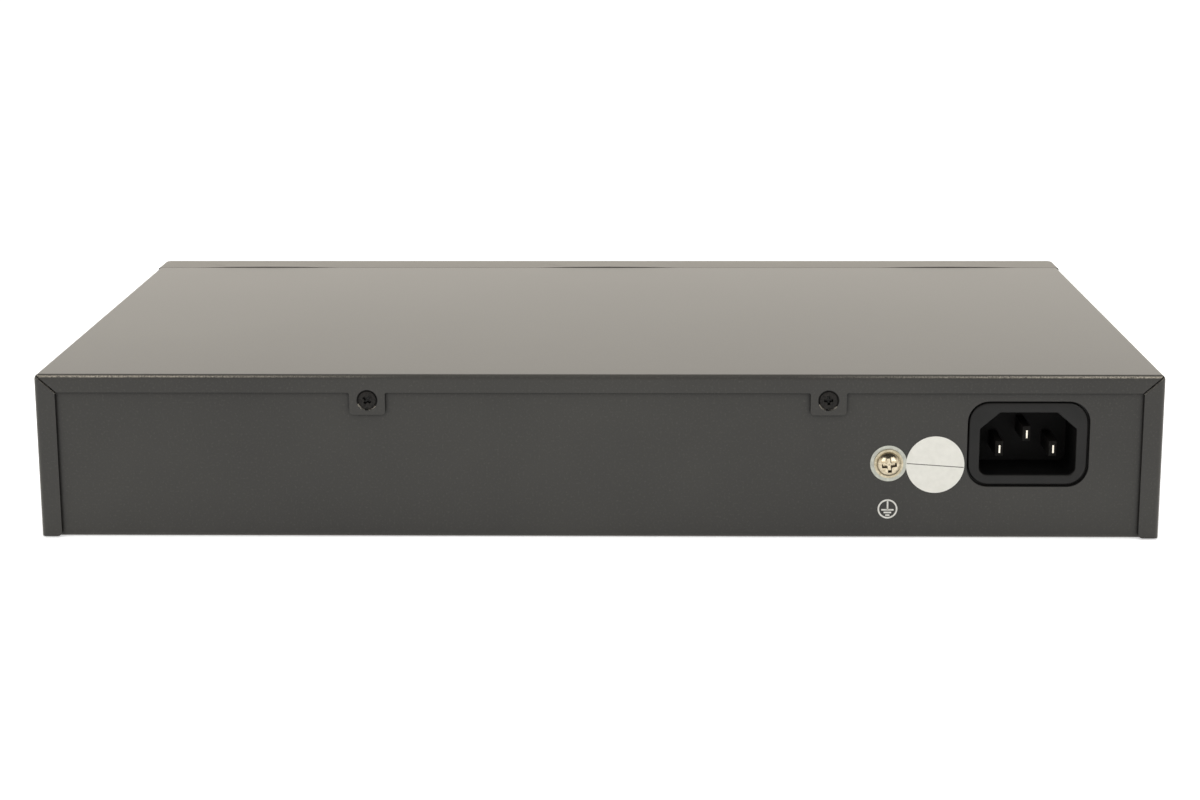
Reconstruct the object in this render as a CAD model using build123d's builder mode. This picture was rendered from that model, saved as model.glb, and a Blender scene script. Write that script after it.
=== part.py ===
from build123d import *
import os

# Desktop network switch with a folded steel case, sizes in millimetres.
# The origin is at the middle of the underside. The ports face -Y and the mains inlet faces +Y.

os.makedirs("parts", exist_ok=True)

# Case
case_width = 294.0
case_depth = 180.0
case_height = 44.0
sheet = 1.0  # steel of the tray and the cover
bend_radius = 1.4  # outside of every bend
wall_gap = 0.2  # between the cover's rear flanges and the wall behind them
lap_gap = 0.1  # between faces that lie on each other
part_gap = 0.3  # between pieces that slide into each other

# Tray
rear_wall_drop = 1.5  # rear wall below the top of the case
front_flange_depth = 6.8
upstand_height = 9.0
corner_relief = 1.5
foot_mark_radius = 7.0
foot_mark_depth = 0.3
foot_spacing_x = 250.0
foot_spacing_y = 130.0

# Cover
cover_lift = 0.3  # lower edge of the cover above the underside
lip_height = 4.75
flange_width = 5.4
tab_width = 10.3
tab_drop = 5.9
tab_corner = 1.0
tab_root = 0.5
tab_spacing = 120.0
tab_screw_depth = 6.75  # screw centre below the top of the case
mitre_gap = 0.45
flange_corner = 1.2
vent_width = 2.4
vent_length = 20.0
vent_corner = 0.7
vent_pitch = 5.5
vent_count = 12
vent_rear_margin = 25.0
ear_hole_radius = 1.6
ear_hole_spacing_y = 24.0
ear_hole_spacing_z = 18.0
ear_front_margin = 24.0
ear_centre_height = 24.0

# Front bezel
bezel_depth = 14.0
bezel_face_wall = 2.5
bezel_wall = 1.8
bezel_proud = 0.1  # wider than the cover on each side
bezel_corner = 2.0
bezel_edge = 0.8
seam_gap = 0.3
rabbet_reach = 4.0
rabbet_root = 3.0
rabbet_thickness = 1.5
rabbet_side_inset = 8.0
swell_length = 46.0  # the top wall bows up between its hooks
swell_rise = 0.45
swell_fade = 0.03  # rise left where the swell runs out
swell_reach = 9.0
swell_spacing = 111.0
hook_width = 8.0
hook_thickness = 1.2
hook_barb = 0.9
hook_barb_length = 1.6
hook_spacing = 92.0
hook_count = 4
hook_drop = 8.0  # hook centre below the top of the case

# Ports: two rows of eight jacks side by side
port_pitch = 14.0
ports_per_block = 8
jack_end_wall = 0.9
jack_height = 13.2
jack_depth = 17.0
jack_inset = 0.4  # jack face behind the bezel face
plug_width = 11.9
plug_height = 8.2
plug_depth = 13.0
plug_roof = 1.4
latch_width = 6.2
latch_height = 1.6
latch_foot_width = 4.0
latch_foot_height = 0.9
contact_pitch = 1.02
contacts_per_port = 8
contact_width = 0.36
contact_thickness = 0.32
contact_setback = 2.2
contact_fall = 2.7
shield_sheet = 0.25
shield_gap = 0.05
block_gap = 5.0
ports_right_margin = 9.0
window_gap = 0.5
spring_width = 2.0
spring_length = 5.0
spring_rise = 0.35

# Lamps: one above each port, lit from the board through a bent light guide
lamp_width = 2.4
lamp_height = 1.4
lamp_gap = 0.15
lamp_clearance = 1.0  # light guide above the jack shields
lamp_leg = 1.3
lamp_bar_depth = 3.0
lamp_chip_height = 0.7

# Boards
board_thickness = 1.6
standoff_height = 6.0
standoff_radius = 3.0
board_hole_radius = 1.75
screw_thread_radius = 1.5
round_sides = 20  # sides of small round parts
hidden_sides = 8  # sides of threads and of the holes that screws cover
thread_fit = 0.05
board_screw_head_radius = 2.8
board_screw_head_height = 1.9
main_board_depth = 66.0
main_board_side_gap = 2.5
power_board_width = 80.0
power_board_depth = 84.0
power_board_side_gap = 6.0
power_board_rear_gap = 4.0
board_hole_inset = 4.5
insulation_thickness = 0.4
insulation_margin = 2.5
insulation_upturn = 8.0

# Mains inlet, as seen from behind with x to the right
inlet_x = 112.2
inlet_height = 25.4
inlet_cut_width = 31.8
inlet_cut_height = 22.9
inlet_cut_corner = 5.6
inlet_face_gap = 0.35
inlet_recess = 0.4  # inlet face behind the rear wall's face
inlet_shoulder = 2.2
inlet_shoulder_depth = 3.0
inlet_body_width = 29.0
inlet_body_height = 20.6
inlet_depth = 20.5
cavity_width = 25.0
cavity_height = 16.6
cavity_depth = 16.0
cavity_chamfer_x = 5.3
cavity_chamfer_z = 4.6
cavity_corner = 2.1
blade_thickness = 2.0
blade_width = 4.0
blade_spacing = 14.0
earth_blade_rise = 4.0
blade_setback = 2.5  # tips behind the inlet face
blade_nose = 0.7
inlet_foot_width = 3.0

# Ground terminal and marks on the rear wall, as seen from behind
ground_x = 76.0
ground_height = 20.2
ground_head_radius = 3.15
ground_head_height = 2.0
ground_washer_radius = 3.8
ground_washer_thickness = 0.6
ground_screw_length = 9.0
ground_nut_flats = 5.5
ground_nut_height = 2.4
ring_lug_radius = 3.4
ring_lug_thickness = 0.8
ring_lug_neck = 2.4
sticker_x = 88.15
sticker_height = 19.9
sticker_radius = 7.6
sticker_thickness = 0.1
tab_head_radius = 2.35
tab_sink_radius = 2.75
tab_screw_length = 6.0

# Driver recesses
recess_width = 0.8
recess_span = 2.9
ground_recess_width = 1.0
ground_recess_span = 3.8
recess_depth = 1.0

# Parts on the power board
row_gap = 4.0  # between neighbours on a board
close_gap = 1.8  # between neighbours in the crowded mains column
fuse_radius = 4.2
fuse_height = 8.0
film_capacitor_length = 17.5
film_capacitor_width = 8.0
film_capacitor_height = 14.0
choke_core_width = 17.0
choke_core_height = 20.0
choke_core_limb = 4.0
choke_coil_radius = 4.9
choke_flange_radius = 5.7
choke_flange_thickness = 1.2
choke_slack = 0.2
bridge_length = 15.0
bridge_width = 3.6
bridge_height = 11.0
bulk_radius = 8.0
bulk_height = 25.0
can_edge = 0.8
soft_edge = 0.6
heatsink_thickness = 2.0
heatsink_length = 30.0
heatsink_height = 26.0
heatsink_fin_depth = 6.0
output_sink_length = 18.0
output_sink_height = 20.0
package_width = 10.0
package_thickness = 4.4
package_body_height = 9.0
package_tab_height = 15.5
package_tab_thickness = 1.3
package_rise = 4.0  # package above the board, on its legs
leg_width = 0.8
leg_pitch = 2.54
core_length = 25.0
core_depth = 7.0
core_height = 20.0
core_limb = 3.6
core_middle_limb = 7.0
core_slack = 0.25
bobbin_flange = 1.0
bobbin_tube = 0.8
bobbin_rail = 4.5
winding_depth = 18.0
output_radius = 5.0
output_height = 16.0
inductor_radius = 5.0
inductor_height = 12.0
disc_radius = 4.5
disc_thickness = 3.0
disc_rise = 1.0
coupler_length = 6.4
coupler_width = 4.6
coupler_height = 3.5

# Wires inside the case
header_width = 7.5
header_depth = 5.8
header_height = 6.0
header_wall = 0.8
plug_stand = 2.5  # wire plug above its header
plug_gap = 0.1
wire_radius = 0.9
wire_sides = 8
wire_spacing = 2.5
wire_arch = 30.0  # crown of the wires above the underside
wire_drop = 14.0  # straight rise of the wires above their plugs
supply_header_x = -45.0
lug_barrel_radius = 1.5
lug_barrel_length = 4.0

# Parts on the main board
port_transformer_length = 24.0
port_transformer_depth = 12.0
port_transformer_height = 5.6
ports_per_transformer = 2
chip_side = 27.0
chip_height = 2.0
chip_edge = 0.4
sink_side = 35.0
sink_base = 2.6
sink_height = 12.0  # base and fins
sink_fins = 9
sink_fin_thickness = 1.2
phy_side = 16.0
phy_height = 1.4
crystal_length = 11.4
crystal_width = 4.8
crystal_height = 3.5
board_can_radius = 4.0
board_can_height = 9.0
power_inductor_side = 10.0
power_inductor_height = 4.8
memory_side = 5.2
memory_height = 1.8

# Places worked out from the sizes above
half_width = case_width / 2
rear_plane = case_depth / 2
front_plane = -case_depth / 2
rear_wall_face = rear_plane - sheet - wall_gap
rear_wall_inner = rear_wall_face - sheet
rear_wall_top = case_height - rear_wall_drop
tray_front_face = front_plane + bezel_face_wall + part_gap
tray_front_inner = tray_front_face + sheet
bezel_half_width = half_width + bezel_proud
bezel_rear = front_plane + bezel_depth
tray_half_width = bezel_half_width - bezel_wall - part_gap
wall_half_width = tray_half_width - bend_radius
joggle_height = bezel_wall + part_gap
joggle_front = bezel_rear + 2 * part_gap
front_wall_top = case_height - bezel_wall - part_gap
upstand_front = joggle_front + joggle_height + corner_relief
upstand_rear = rear_wall_face - bend_radius - corner_relief
cover_front = bezel_rear + seam_gap
cover_length = rear_plane - cover_front
lip_edge = case_height - lip_height
flange_inner = half_width - flange_width
tab_screw_z = case_height - tab_screw_depth
ear_centre_y = bezel_rear + ear_front_margin
vent_centre_y = rear_plane - vent_rear_margin - (vent_count - 1) * vent_pitch / 2
vent_centre_z = case_height / 2

board_bottom = sheet + standoff_height
board_top = board_bottom + board_thickness
main_board_front = tray_front_inner + part_gap
main_board_rear = main_board_front + main_board_depth
main_board_half = tray_half_width - sheet - main_board_side_gap
power_board_left = -(tray_half_width - sheet - power_board_side_gap)
power_board_right = power_board_left + power_board_width
power_board_rear = rear_wall_inner - power_board_rear_gap
power_board_front = power_board_rear - power_board_depth
power_board_x = (power_board_left + power_board_right) / 2
power_board_y = (power_board_front + power_board_rear) / 2

jack_width = ports_per_block * port_pitch + 2 * jack_end_wall
jack_front = front_plane + jack_inset
jack_top = board_top + jack_height
jack_rear = jack_front + jack_depth
plug_top = jack_top - plug_roof
plug_floor = plug_top - plug_height
right_block_x = bezel_half_width - ports_right_margin - jack_width / 2
left_block_x = right_block_x - jack_width - block_gap
block_places = (left_block_x, right_block_x)
ports_in_block = GridLocations(port_pitch, 0, ports_per_block, 1).local_locations
shield_wrap = shield_gap + shield_sheet
window_width = jack_width + 2 * (shield_wrap + window_gap)
window_bottom = board_bottom
window_top = jack_top + shield_wrap + spring_rise + window_gap
window_middle = (window_bottom + window_top) / 2
lamp_centre_height = window_top + lamp_clearance + lamp_height / 2
port_places = [block_x + place.position.X for block_x in block_places for place in ports_in_block]
hook_height = case_height - hook_drop

rear_view = Plane(origin=(0, rear_wall_face, 0), x_dir=(-1, 0, 0), z_dir=(0, 1, 0))
cover_view = Plane(origin=(0, rear_plane, 0), x_dir=(-1, 0, 0), z_dir=(0, 1, 0))
front_view = Plane(origin=(0, front_plane, 0), x_dir=(1, 0, 0), z_dir=(0, -1, 0))
inlet_view = Plane(origin=(0, rear_wall_face - inlet_recess, 0), x_dir=(-1, 0, 0), z_dir=(0, 1, 0))
board_view = Plane.XY.offset(board_top)
tab_screw_places = [(-tab_spacing / 2, tab_screw_z), (tab_spacing / 2, tab_screw_z)]
finished = []


def finish(part, name):
    """Label a finished piece and keep it for writing."""
    part.label = name
    finished.append(part)


def thread_hole(mode):
    """A many-sided hole that clears a screw's thread, drawn where screws hide it."""
    RegularPolygon(screw_thread_radius + thread_fit, hidden_sides, major_radius=False, mode=mode)


def on_board(x, y):
    """A place on top of the boards."""
    return Location((x, y, board_top))


# Tray: front wall with its top flange, joggled floor and rear wall from one strip, then the side upstands
with BuildPart() as base_tray:
    with BuildSketch(Plane.YZ):
        with BuildLine():
            FilletPolyline(
                (tray_front_face + front_flange_depth, front_wall_top),
                (tray_front_face, front_wall_top),
                (tray_front_face, joggle_height),
                (joggle_front, joggle_height),
                (joggle_front + joggle_height, 0),
                (rear_wall_face, 0),
                (rear_wall_face, rear_wall_top),
                radius=bend_radius,
            )
            offset(amount=sheet, side=Side.LEFT)
        make_face()
    extrude(amount=wall_half_width, both=True)
    with BuildSketch(Plane.XZ.offset(-upstand_rear)):
        with BuildLine():
            FilletPolyline(
                (wall_half_width - bend_radius, 0),
                (tray_half_width, 0),
                (tray_half_width, upstand_height),
                radius=bend_radius,
            )
            offset(amount=sheet, side=Side.LEFT)
        make_face()
        mirror(about=Plane.YZ)
    extrude(amount=upstand_rear - upstand_front)
    with BuildSketch(Plane.XY):
        with GridLocations(foot_spacing_x, foot_spacing_y, 2, 2):
            Circle(foot_mark_radius)
    extrude(amount=foot_mark_depth, mode=Mode.SUBTRACT)
    with BuildSketch(rear_view):
        with Locations((inlet_x, inlet_height)):
            RectangleRounded(inlet_cut_width, inlet_cut_height, inlet_cut_corner)
        with Locations((ground_x, ground_height), *tab_screw_places):
            thread_hole(Mode.ADD)
    extrude(amount=-2 * sheet, mode=Mode.SUBTRACT)
    with BuildSketch(front_view):
        for block_x in block_places:
            with Locations((block_x, window_middle)):
                Rectangle(window_width, window_top - window_bottom)
        with Locations(*[(port_x, lamp_centre_height) for port_x in port_places]):
            Rectangle(lamp_width + 2 * lamp_gap, lamp_height + 2 * lamp_gap)
        with Locations((0, hook_height)):
            with GridLocations(hook_spacing, 0, hook_count, 1):
                Rectangle(hook_width + 2 * part_gap, hook_thickness + hook_barb + 2 * part_gap)
    extrude(amount=-(bezel_face_wall + part_gap + 2 * sheet), mode=Mode.SUBTRACT)
finish(base_tray.part, "base_tray")

# Cover: top and sides with a rear lip, two screw tabs and mitred rear flanges
with BuildPart() as top_cover:
    with BuildSketch(Plane.XY.offset(cover_lift)):
        with Locations((0, (cover_front + rear_plane) / 2)):
            Rectangle(case_width, cover_length)
    extrude(amount=case_height - cover_lift)
    top_edges = top_cover.faces().sort_by(Axis.Z)[-1].edges().sort_by(Axis.Y)[1:]
    rear_uprights = top_cover.edges().filter_by(Axis.Z).group_by(Axis.Y)[-1]
    fillet(top_edges + rear_uprights, radius=bend_radius)
    open_faces = [top_cover.faces().sort_by(Axis.Z)[0], top_cover.faces().sort_by(Axis.Y)[0]]
    offset(amount=-sheet, openings=open_faces)
    with BuildSketch(cover_view):
        with Locations((0, cover_lift)):
            Rectangle(2 * flange_inner, lip_edge - cover_lift, align=(Align.CENTER, Align.MIN))
        with Locations((-tab_spacing / 2, lip_edge), (tab_spacing / 2, lip_edge)):
            Rectangle(tab_width, 2 * tab_drop, mode=Mode.SUBTRACT)
    extrude(amount=-2 * sheet, mode=Mode.SUBTRACT)
    tab_edges = top_cover.edges().filter_by(Axis.Y).filter_by_position(
        Axis.Z, lip_edge - tab_drop - lap_gap, lip_edge - tab_drop + lap_gap
    )
    fillet(tab_edges, radius=tab_corner)
    root_edges = top_cover.edges().filter_by(Axis.Y).filter_by_position(
        Axis.Z, lip_edge - lap_gap, lip_edge + lap_gap
    )
    fillet(root_edges.filter_by_position(Axis.X, -tab_spacing, tab_spacing), radius=tab_root)
    flange_corners = top_cover.edges().filter_by(Axis.Y).filter_by_position(
        Axis.Z, cover_lift - lap_gap, cover_lift + lap_gap
    )
    fillet([edge for edge in flange_corners if edge.length < 2 * sheet], radius=flange_corner)
    with BuildSketch(cover_view):
        with BuildLine():
            Line((flange_inner - mitre_gap, lip_edge), (half_width - mitre_gap, case_height))
            Line((half_width - mitre_gap, case_height), (half_width + mitre_gap, case_height))
            Line((half_width + mitre_gap, case_height), (flange_inner, lip_edge - mitre_gap))
            Line((flange_inner, lip_edge - mitre_gap), (flange_inner - mitre_gap, lip_edge))
        make_face()
        mirror(about=Plane.YZ)
    extrude(amount=-(sheet + mitre_gap), mode=Mode.SUBTRACT)
    with Locations(cover_view):
        with Locations(*tab_screw_places):
            CounterSinkHole(
                radius=screw_thread_radius + thread_fit,
                counter_sink_radius=tab_sink_radius,
                depth=2 * sheet,
                counter_sink_angle=90,
            )
    with BuildSketch(Plane.YZ) as vents:
        with Locations((vent_centre_y, vent_centre_z)):
            with GridLocations(vent_pitch, 0, vent_count, 1):
                Rectangle(vent_width, vent_length)
        chamfer(vents.vertices(), length=vent_corner)
    extrude(amount=case_width, both=True, mode=Mode.SUBTRACT)
    with BuildSketch(Plane.YZ):
        with Locations((ear_centre_y, ear_centre_height)):
            with GridLocations(ear_hole_spacing_y, ear_hole_spacing_z, 2, 2):
                Circle(ear_hole_radius)
    extrude(amount=case_width, both=True, mode=Mode.SUBTRACT)
finish(top_cover.part, "top_cover")

# Bezel: moulded frame round the front with jack windows, lamp windows, a rabbet and snap hooks
with BuildPart() as front_bezel:
    with BuildSketch(Plane.XY):
        with Locations((0, front_plane + bezel_depth / 2)):
            Rectangle(2 * bezel_half_width, bezel_depth)
    extrude(amount=case_height)
    fillet(front_bezel.edges().filter_by(Axis.Z).group_by(Axis.Y)[0], radius=bezel_corner)
    fillet(front_bezel.faces().sort_by(Axis.Y)[0].edges().filter_by(Axis.X), radius=bezel_edge)
    with BuildSketch(Plane.XY.offset(bezel_wall)):
        with Locations((0, front_plane + bezel_face_wall)):
            Rectangle(2 * (bezel_half_width - bezel_wall), bezel_depth, align=(Align.CENTER, Align.MIN))
    extrude(amount=case_height - 2 * bezel_wall, mode=Mode.SUBTRACT)
    for swell_x in (-swell_spacing, 0, swell_spacing):
        swell_start = swell_x - swell_length / 2
        swell_end = swell_x + swell_length / 2
        for section_y, rise in ((bezel_rear, swell_rise), (bezel_rear - swell_reach, swell_fade)):
            with BuildSketch(Plane.XZ.offset(-section_y)):
                with BuildLine():
                    ThreePointArc(
                        (swell_start, case_height),
                        (swell_x, case_height + rise),
                        (swell_end, case_height),
                    )
                    Polyline(
                        (swell_end, case_height),
                        (swell_end, case_height - bezel_wall / 2),
                        (swell_start, case_height - bezel_wall / 2),
                        (swell_start, case_height),
                    )
                make_face()
        loft()
    with BuildSketch(Plane.YZ):
        with Locations((bezel_rear - rabbet_root, case_height - sheet - part_gap / 2)):
            Rectangle(rabbet_root + rabbet_reach, rabbet_thickness, align=(Align.MIN, Align.MAX))
    extrude(amount=bezel_half_width - bezel_wall - rabbet_side_inset, both=True)
    for side in (-1, 1):
        rabbet_outer = side * (half_width - sheet - part_gap / 2)
        with BuildSketch(Plane.XY.offset(upstand_height + part_gap + rabbet_side_inset)):
            with Locations((rabbet_outer - side * rabbet_thickness / 2, bezel_rear - rabbet_root)):
                Rectangle(rabbet_thickness, rabbet_root + rabbet_reach, align=(Align.CENTER, Align.MIN))
        extrude(amount=ear_hole_spacing_z)
    with BuildSketch(front_view):
        for block_x in block_places:
            with Locations((block_x, window_middle)):
                Rectangle(window_width, window_top - window_bottom)
        with Locations(*[(port_x, lamp_centre_height) for port_x in port_places]):
            Rectangle(lamp_width, lamp_height)
    extrude(amount=-(bezel_face_wall + part_gap), mode=Mode.SUBTRACT)
    hook_root = front_plane + bezel_face_wall
    hook_throat = tray_front_inner + part_gap / 2
    hook_under = hook_height - (hook_thickness + hook_barb) / 2
    for place in GridLocations(hook_spacing, 0, hook_count, 1):
        with BuildSketch(Plane.YZ.offset(place.position.X - hook_width / 2)):
            with BuildLine():
                Polyline(
                    (hook_root, hook_under),
                    (hook_throat + hook_barb_length, hook_under),
                    (hook_throat + hook_barb_length, hook_under + hook_thickness),
                    (hook_throat, hook_under + hook_thickness + hook_barb),
                    (hook_throat, hook_under + hook_thickness),
                    (hook_root, hook_under + hook_thickness),
                    close=True,
                )
            make_face()
        extrude(amount=hook_width)
finish(front_bezel.part, "front_bezel")


def cross_recess(face_plane, span, width):
    """Cut a driver cross into the part being built."""
    with BuildSketch(face_plane) as cross:
        Rectangle(span, width)
        Rectangle(width, span)
    extrude(cross.sketch, amount=-recess_depth, mode=Mode.SUBTRACT)


def screw_thread(thread_length):
    """Add a plain thread below the origin to the screw being built."""
    with BuildSketch() as thread:
        RegularPolygon(screw_thread_radius, hidden_sides)
    extrude(thread.sketch, amount=-thread_length)


def pan_head_screw(head_radius, head_height, thread_length, head_sides, span, width):
    """A screw standing on its seat at the origin, with its head up."""
    with BuildPart() as screw:
        with BuildSketch():
            RegularPolygon(head_radius, head_sides)
        extrude(amount=head_height)
        chamfer(screw.faces().sort_by(Axis.Z)[-1].edges(), length=head_height / 2)
        cross_recess(Plane.XY.offset(head_height), span, width)
        screw_thread(thread_length)
    return screw.part


# Screws through the tabs of the cover: flat heads sunk into the dimples
with BuildPart() as tab_screw:
    with BuildSketch(Plane.XZ):
        with BuildLine():
            Polyline(
                (0, 0),
                (tab_head_radius, 0),
                (tab_head_radius, -lap_gap),
                (screw_thread_radius, lap_gap + screw_thread_radius - tab_sink_radius + lap_gap),
                (0, lap_gap + screw_thread_radius - tab_sink_radius + lap_gap),
                close=True,
            )
        make_face()
    revolve(axis=Axis.Z)
    screw_thread(tab_screw_length)
    cross_recess(Plane.XY, recess_span, recess_width)
with BuildPart() as rear_cover_screws:
    with Locations(cover_view.offset(-lap_gap)):
        with Locations(*tab_screw_places):
            add(tab_screw.part)
finish(rear_cover_screws.part, "rear_cover_screws")

# Ground terminal: flanged pan head screw, washer, nut and the ring lug of the earth wire
with BuildPart() as ground_screw:
    with Locations(rear_view.offset(ground_washer_thickness)):
        with Locations((ground_x, ground_height)):
            add(
                pan_head_screw(
                    ground_head_radius,
                    ground_head_height,
                    ground_screw_length,
                    round_sides,
                    ground_recess_span,
                    ground_recess_width,
                )
            )
finish(ground_screw.part, "ground_screw")

with BuildPart() as ground_washer:
    with BuildSketch(rear_view):
        with Locations((ground_x, ground_height)):
            Circle(ground_washer_radius)
            thread_hole(Mode.SUBTRACT)
    extrude(amount=ground_washer_thickness)
finish(ground_washer.part, "ground_washer")

barrel_start = ground_x + ring_lug_radius
barrel_y = rear_wall_inner - lug_barrel_radius - plug_gap
with BuildPart() as earth_ring_lug:
    with BuildSketch(rear_view.offset(-sheet)):
        with Locations((ground_x, ground_height)):
            Circle(ring_lug_radius)
            Rectangle(ring_lug_radius + lug_barrel_length, ring_lug_neck, align=(Align.MIN, Align.CENTER))
            thread_hole(Mode.SUBTRACT)
    extrude(amount=-ring_lug_thickness)
    with BuildSketch(Plane.YZ.offset(-barrel_start)):
        with Locations((barrel_y, ground_height)):
            RegularPolygon(lug_barrel_radius, wire_sides)
    extrude(amount=-lug_barrel_length)
finish(earth_ring_lug.part, "earth_ring_lug")

with BuildPart() as ground_nut:
    with BuildSketch(rear_view.offset(-sheet - ring_lug_thickness)):
        with Locations((ground_x, ground_height)):
            RegularPolygon(ground_nut_flats / 2, 6, major_radius=False)
            thread_hole(Mode.SUBTRACT)
    extrude(amount=-ground_nut_height)
finish(ground_nut.part, "ground_nut")

with BuildPart() as inspection_sticker:
    with BuildSketch(rear_view):
        with Locations((sticker_x, sticker_height)):
            Circle(sticker_radius)
    extrude(amount=sticker_thickness)
finish(inspection_sticker.part, "inspection_sticker")

# Mains inlet: face through the cut-out, shoulder behind the wall, body with a chamfered cavity
inlet_face = rear_wall_face - inlet_recess
shoulder_face = rear_wall_inner - lap_gap
inlet_rear = inlet_face - inlet_depth
with BuildPart() as inlet_body:
    with BuildSketch(inlet_view):
        with Locations((inlet_x, inlet_height)):
            RectangleRounded(
                inlet_cut_width - 2 * inlet_face_gap,
                inlet_cut_height - 2 * inlet_face_gap,
                inlet_cut_corner - inlet_face_gap,
            )
    extrude(amount=-(inlet_face - shoulder_face))
    chamfer(inlet_body.faces().sort_by(Axis.Y)[-1].edges(), length=inlet_face_gap)
    with BuildSketch(inlet_view.offset(shoulder_face - inlet_face)):
        with Locations((inlet_x, inlet_height)):
            Rectangle(inlet_cut_width + 2 * inlet_shoulder, inlet_cut_height + 2 * inlet_shoulder)
    extrude(amount=-inlet_shoulder_depth)
    with BuildSketch(inlet_view.offset(shoulder_face - inlet_face)):
        with Locations((inlet_x, inlet_height)):
            Rectangle(inlet_body_width, inlet_body_height)
    extrude(amount=inlet_rear - shoulder_face)
    foot_rear = power_board_rear - part_gap
    with BuildSketch(Plane.XZ.offset(-foot_rear)):
        for side in (-1, 1):
            with Locations((-inlet_x + side * (inlet_body_width - inlet_foot_width) / 2, board_top)):
                Rectangle(inlet_foot_width, inlet_height - board_top, align=(Align.CENTER, Align.MIN))
    extrude(amount=foot_rear - inlet_rear)
    with BuildSketch(inlet_view) as cavity:
        with Locations((inlet_x, inlet_height)):
            Rectangle(cavity_width, cavity_height)
        fillet(cavity.vertices().group_by(Axis.Z)[0], radius=cavity_corner)
        chamfer(cavity.vertices().group_by(Axis.Z)[-1], length=cavity_chamfer_x, length2=cavity_chamfer_z)
    extrude(amount=-cavity_depth, mode=Mode.SUBTRACT)
    blade_places = {
        "inlet_line_blade": (inlet_x - blade_spacing / 2, inlet_height - earth_blade_rise / 2),
        "inlet_neutral_blade": (inlet_x + blade_spacing / 2, inlet_height - earth_blade_rise / 2),
        "inlet_earth_blade": (inlet_x, inlet_height + earth_blade_rise / 2),
    }
    with BuildSketch(inlet_view.offset(-cavity_depth)):
        with Locations(*blade_places.values()):
            Rectangle(blade_thickness + 2 * thread_fit, blade_width + 2 * thread_fit)
    extrude(amount=-inlet_depth, mode=Mode.SUBTRACT)
finish(inlet_body.part, "inlet_body")

# Inlet blades: straight through the back of the body, then down to the board
blade_tail_y = inlet_rear - blade_thickness
for blade_name, (blade_x, blade_z) in blade_places.items():
    tail_y = blade_tail_y - (blade_width if "earth" in blade_name else 0)
    with BuildPart() as blade:
        with BuildSketch(Plane.YZ.offset(-blade_x - blade_thickness / 2)):
            with BuildLine():
                Polyline(
                    (inlet_face - blade_setback, blade_z - blade_width / 2),
                    (inlet_face - blade_setback, blade_z + blade_width / 2),
                    (tail_y - blade_thickness, blade_z + blade_width / 2),
                    (tail_y - blade_thickness, board_top),
                    (tail_y, board_top),
                    (tail_y, blade_z - blade_width / 2),
                    close=True,
                )
            make_face()
        extrude(amount=blade_thickness)
        chamfer(blade.faces().sort_by(Axis.Y)[-1].edges(), length=blade_nose)
    finish(blade.part, blade_name)

# Boards with their holes, on standoffs, with the film under the power board
port_transformer_y = jack_rear + shield_wrap + row_gap / 2 + port_transformer_depth / 2
main_hole_front = port_transformer_y + port_transformer_depth / 2 + row_gap / 2 + board_screw_head_radius
main_hole_rear = main_board_rear - board_hole_inset
main_hole_side = main_board_half - board_hole_inset
ports_middle = (left_block_x + right_block_x) / 2
main_holes = [
    (x, y)
    for x in (-main_hole_side, main_hole_side)
    for y in (main_hole_front, main_hole_rear)
]
power_holes = [
    (x, y)
    for x in (power_board_left + board_hole_inset, power_board_right - board_hole_inset)
    for y in (power_board_front + board_hole_inset, power_board_rear - board_hole_inset)
]
with BuildPart() as main_board:
    with BuildSketch(Plane.XY.offset(board_bottom)):
        with Locations((0, main_board_front)):
            Rectangle(2 * main_board_half, main_board_depth, align=(Align.CENTER, Align.MIN))
        with Locations(*main_holes):
            RegularPolygon(board_hole_radius, hidden_sides, major_radius=False, mode=Mode.SUBTRACT)
    extrude(amount=board_thickness)
finish(main_board.part, "main_board")

with BuildPart() as power_board:
    with BuildSketch(Plane.XY.offset(board_bottom)):
        with Locations((power_board_x, power_board_y)):
            Rectangle(power_board_width, power_board_depth)
        with Locations(*power_holes):
            RegularPolygon(board_hole_radius, hidden_sides, major_radius=False, mode=Mode.SUBTRACT)
    extrude(amount=board_thickness)
finish(power_board.part, "power_board")

with BuildPart() as insulating_film:
    film_left = power_board_left - insulation_margin
    film_right = power_board_right + insulation_margin
    film_floor = sheet
    with BuildSketch(Plane.XZ.offset(-power_board_rear)):
        with BuildLine():
            FilletPolyline(
                (film_right, film_floor),
                (film_left, film_floor),
                (film_left, film_floor + insulation_upturn),
                radius=insulation_thickness * 2,
            )
            offset(amount=insulation_thickness, side=Side.RIGHT)
        make_face()
    extrude(amount=power_board_depth)
    with BuildSketch(Plane.XY.offset(sheet)):
        with Locations(*power_holes):
            Rectangle(2 * board_hole_inset, 2 * board_hole_inset)
    extrude(amount=insulation_upturn, mode=Mode.SUBTRACT)
finish(insulating_film.part, "insulating_film")

with BuildPart() as board_standoffs:
    with BuildSketch(Plane.XY.offset(sheet)):
        with Locations(*(main_holes + power_holes)):
            RegularPolygon(standoff_radius, 6)
            thread_hole(Mode.SUBTRACT)
    extrude(amount=standoff_height)
finish(board_standoffs.part, "board_standoffs")

with BuildPart() as board_screws:
    with Locations(*[on_board(x, y) for x, y in main_holes + power_holes]):
        add(
            pan_head_screw(
                board_screw_head_radius,
                board_screw_head_height,
                board_thickness + standoff_height / 2,
                hidden_sides,
                recess_span,
                recess_width,
            )
        )
finish(board_screws.part, "board_screws")

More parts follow.
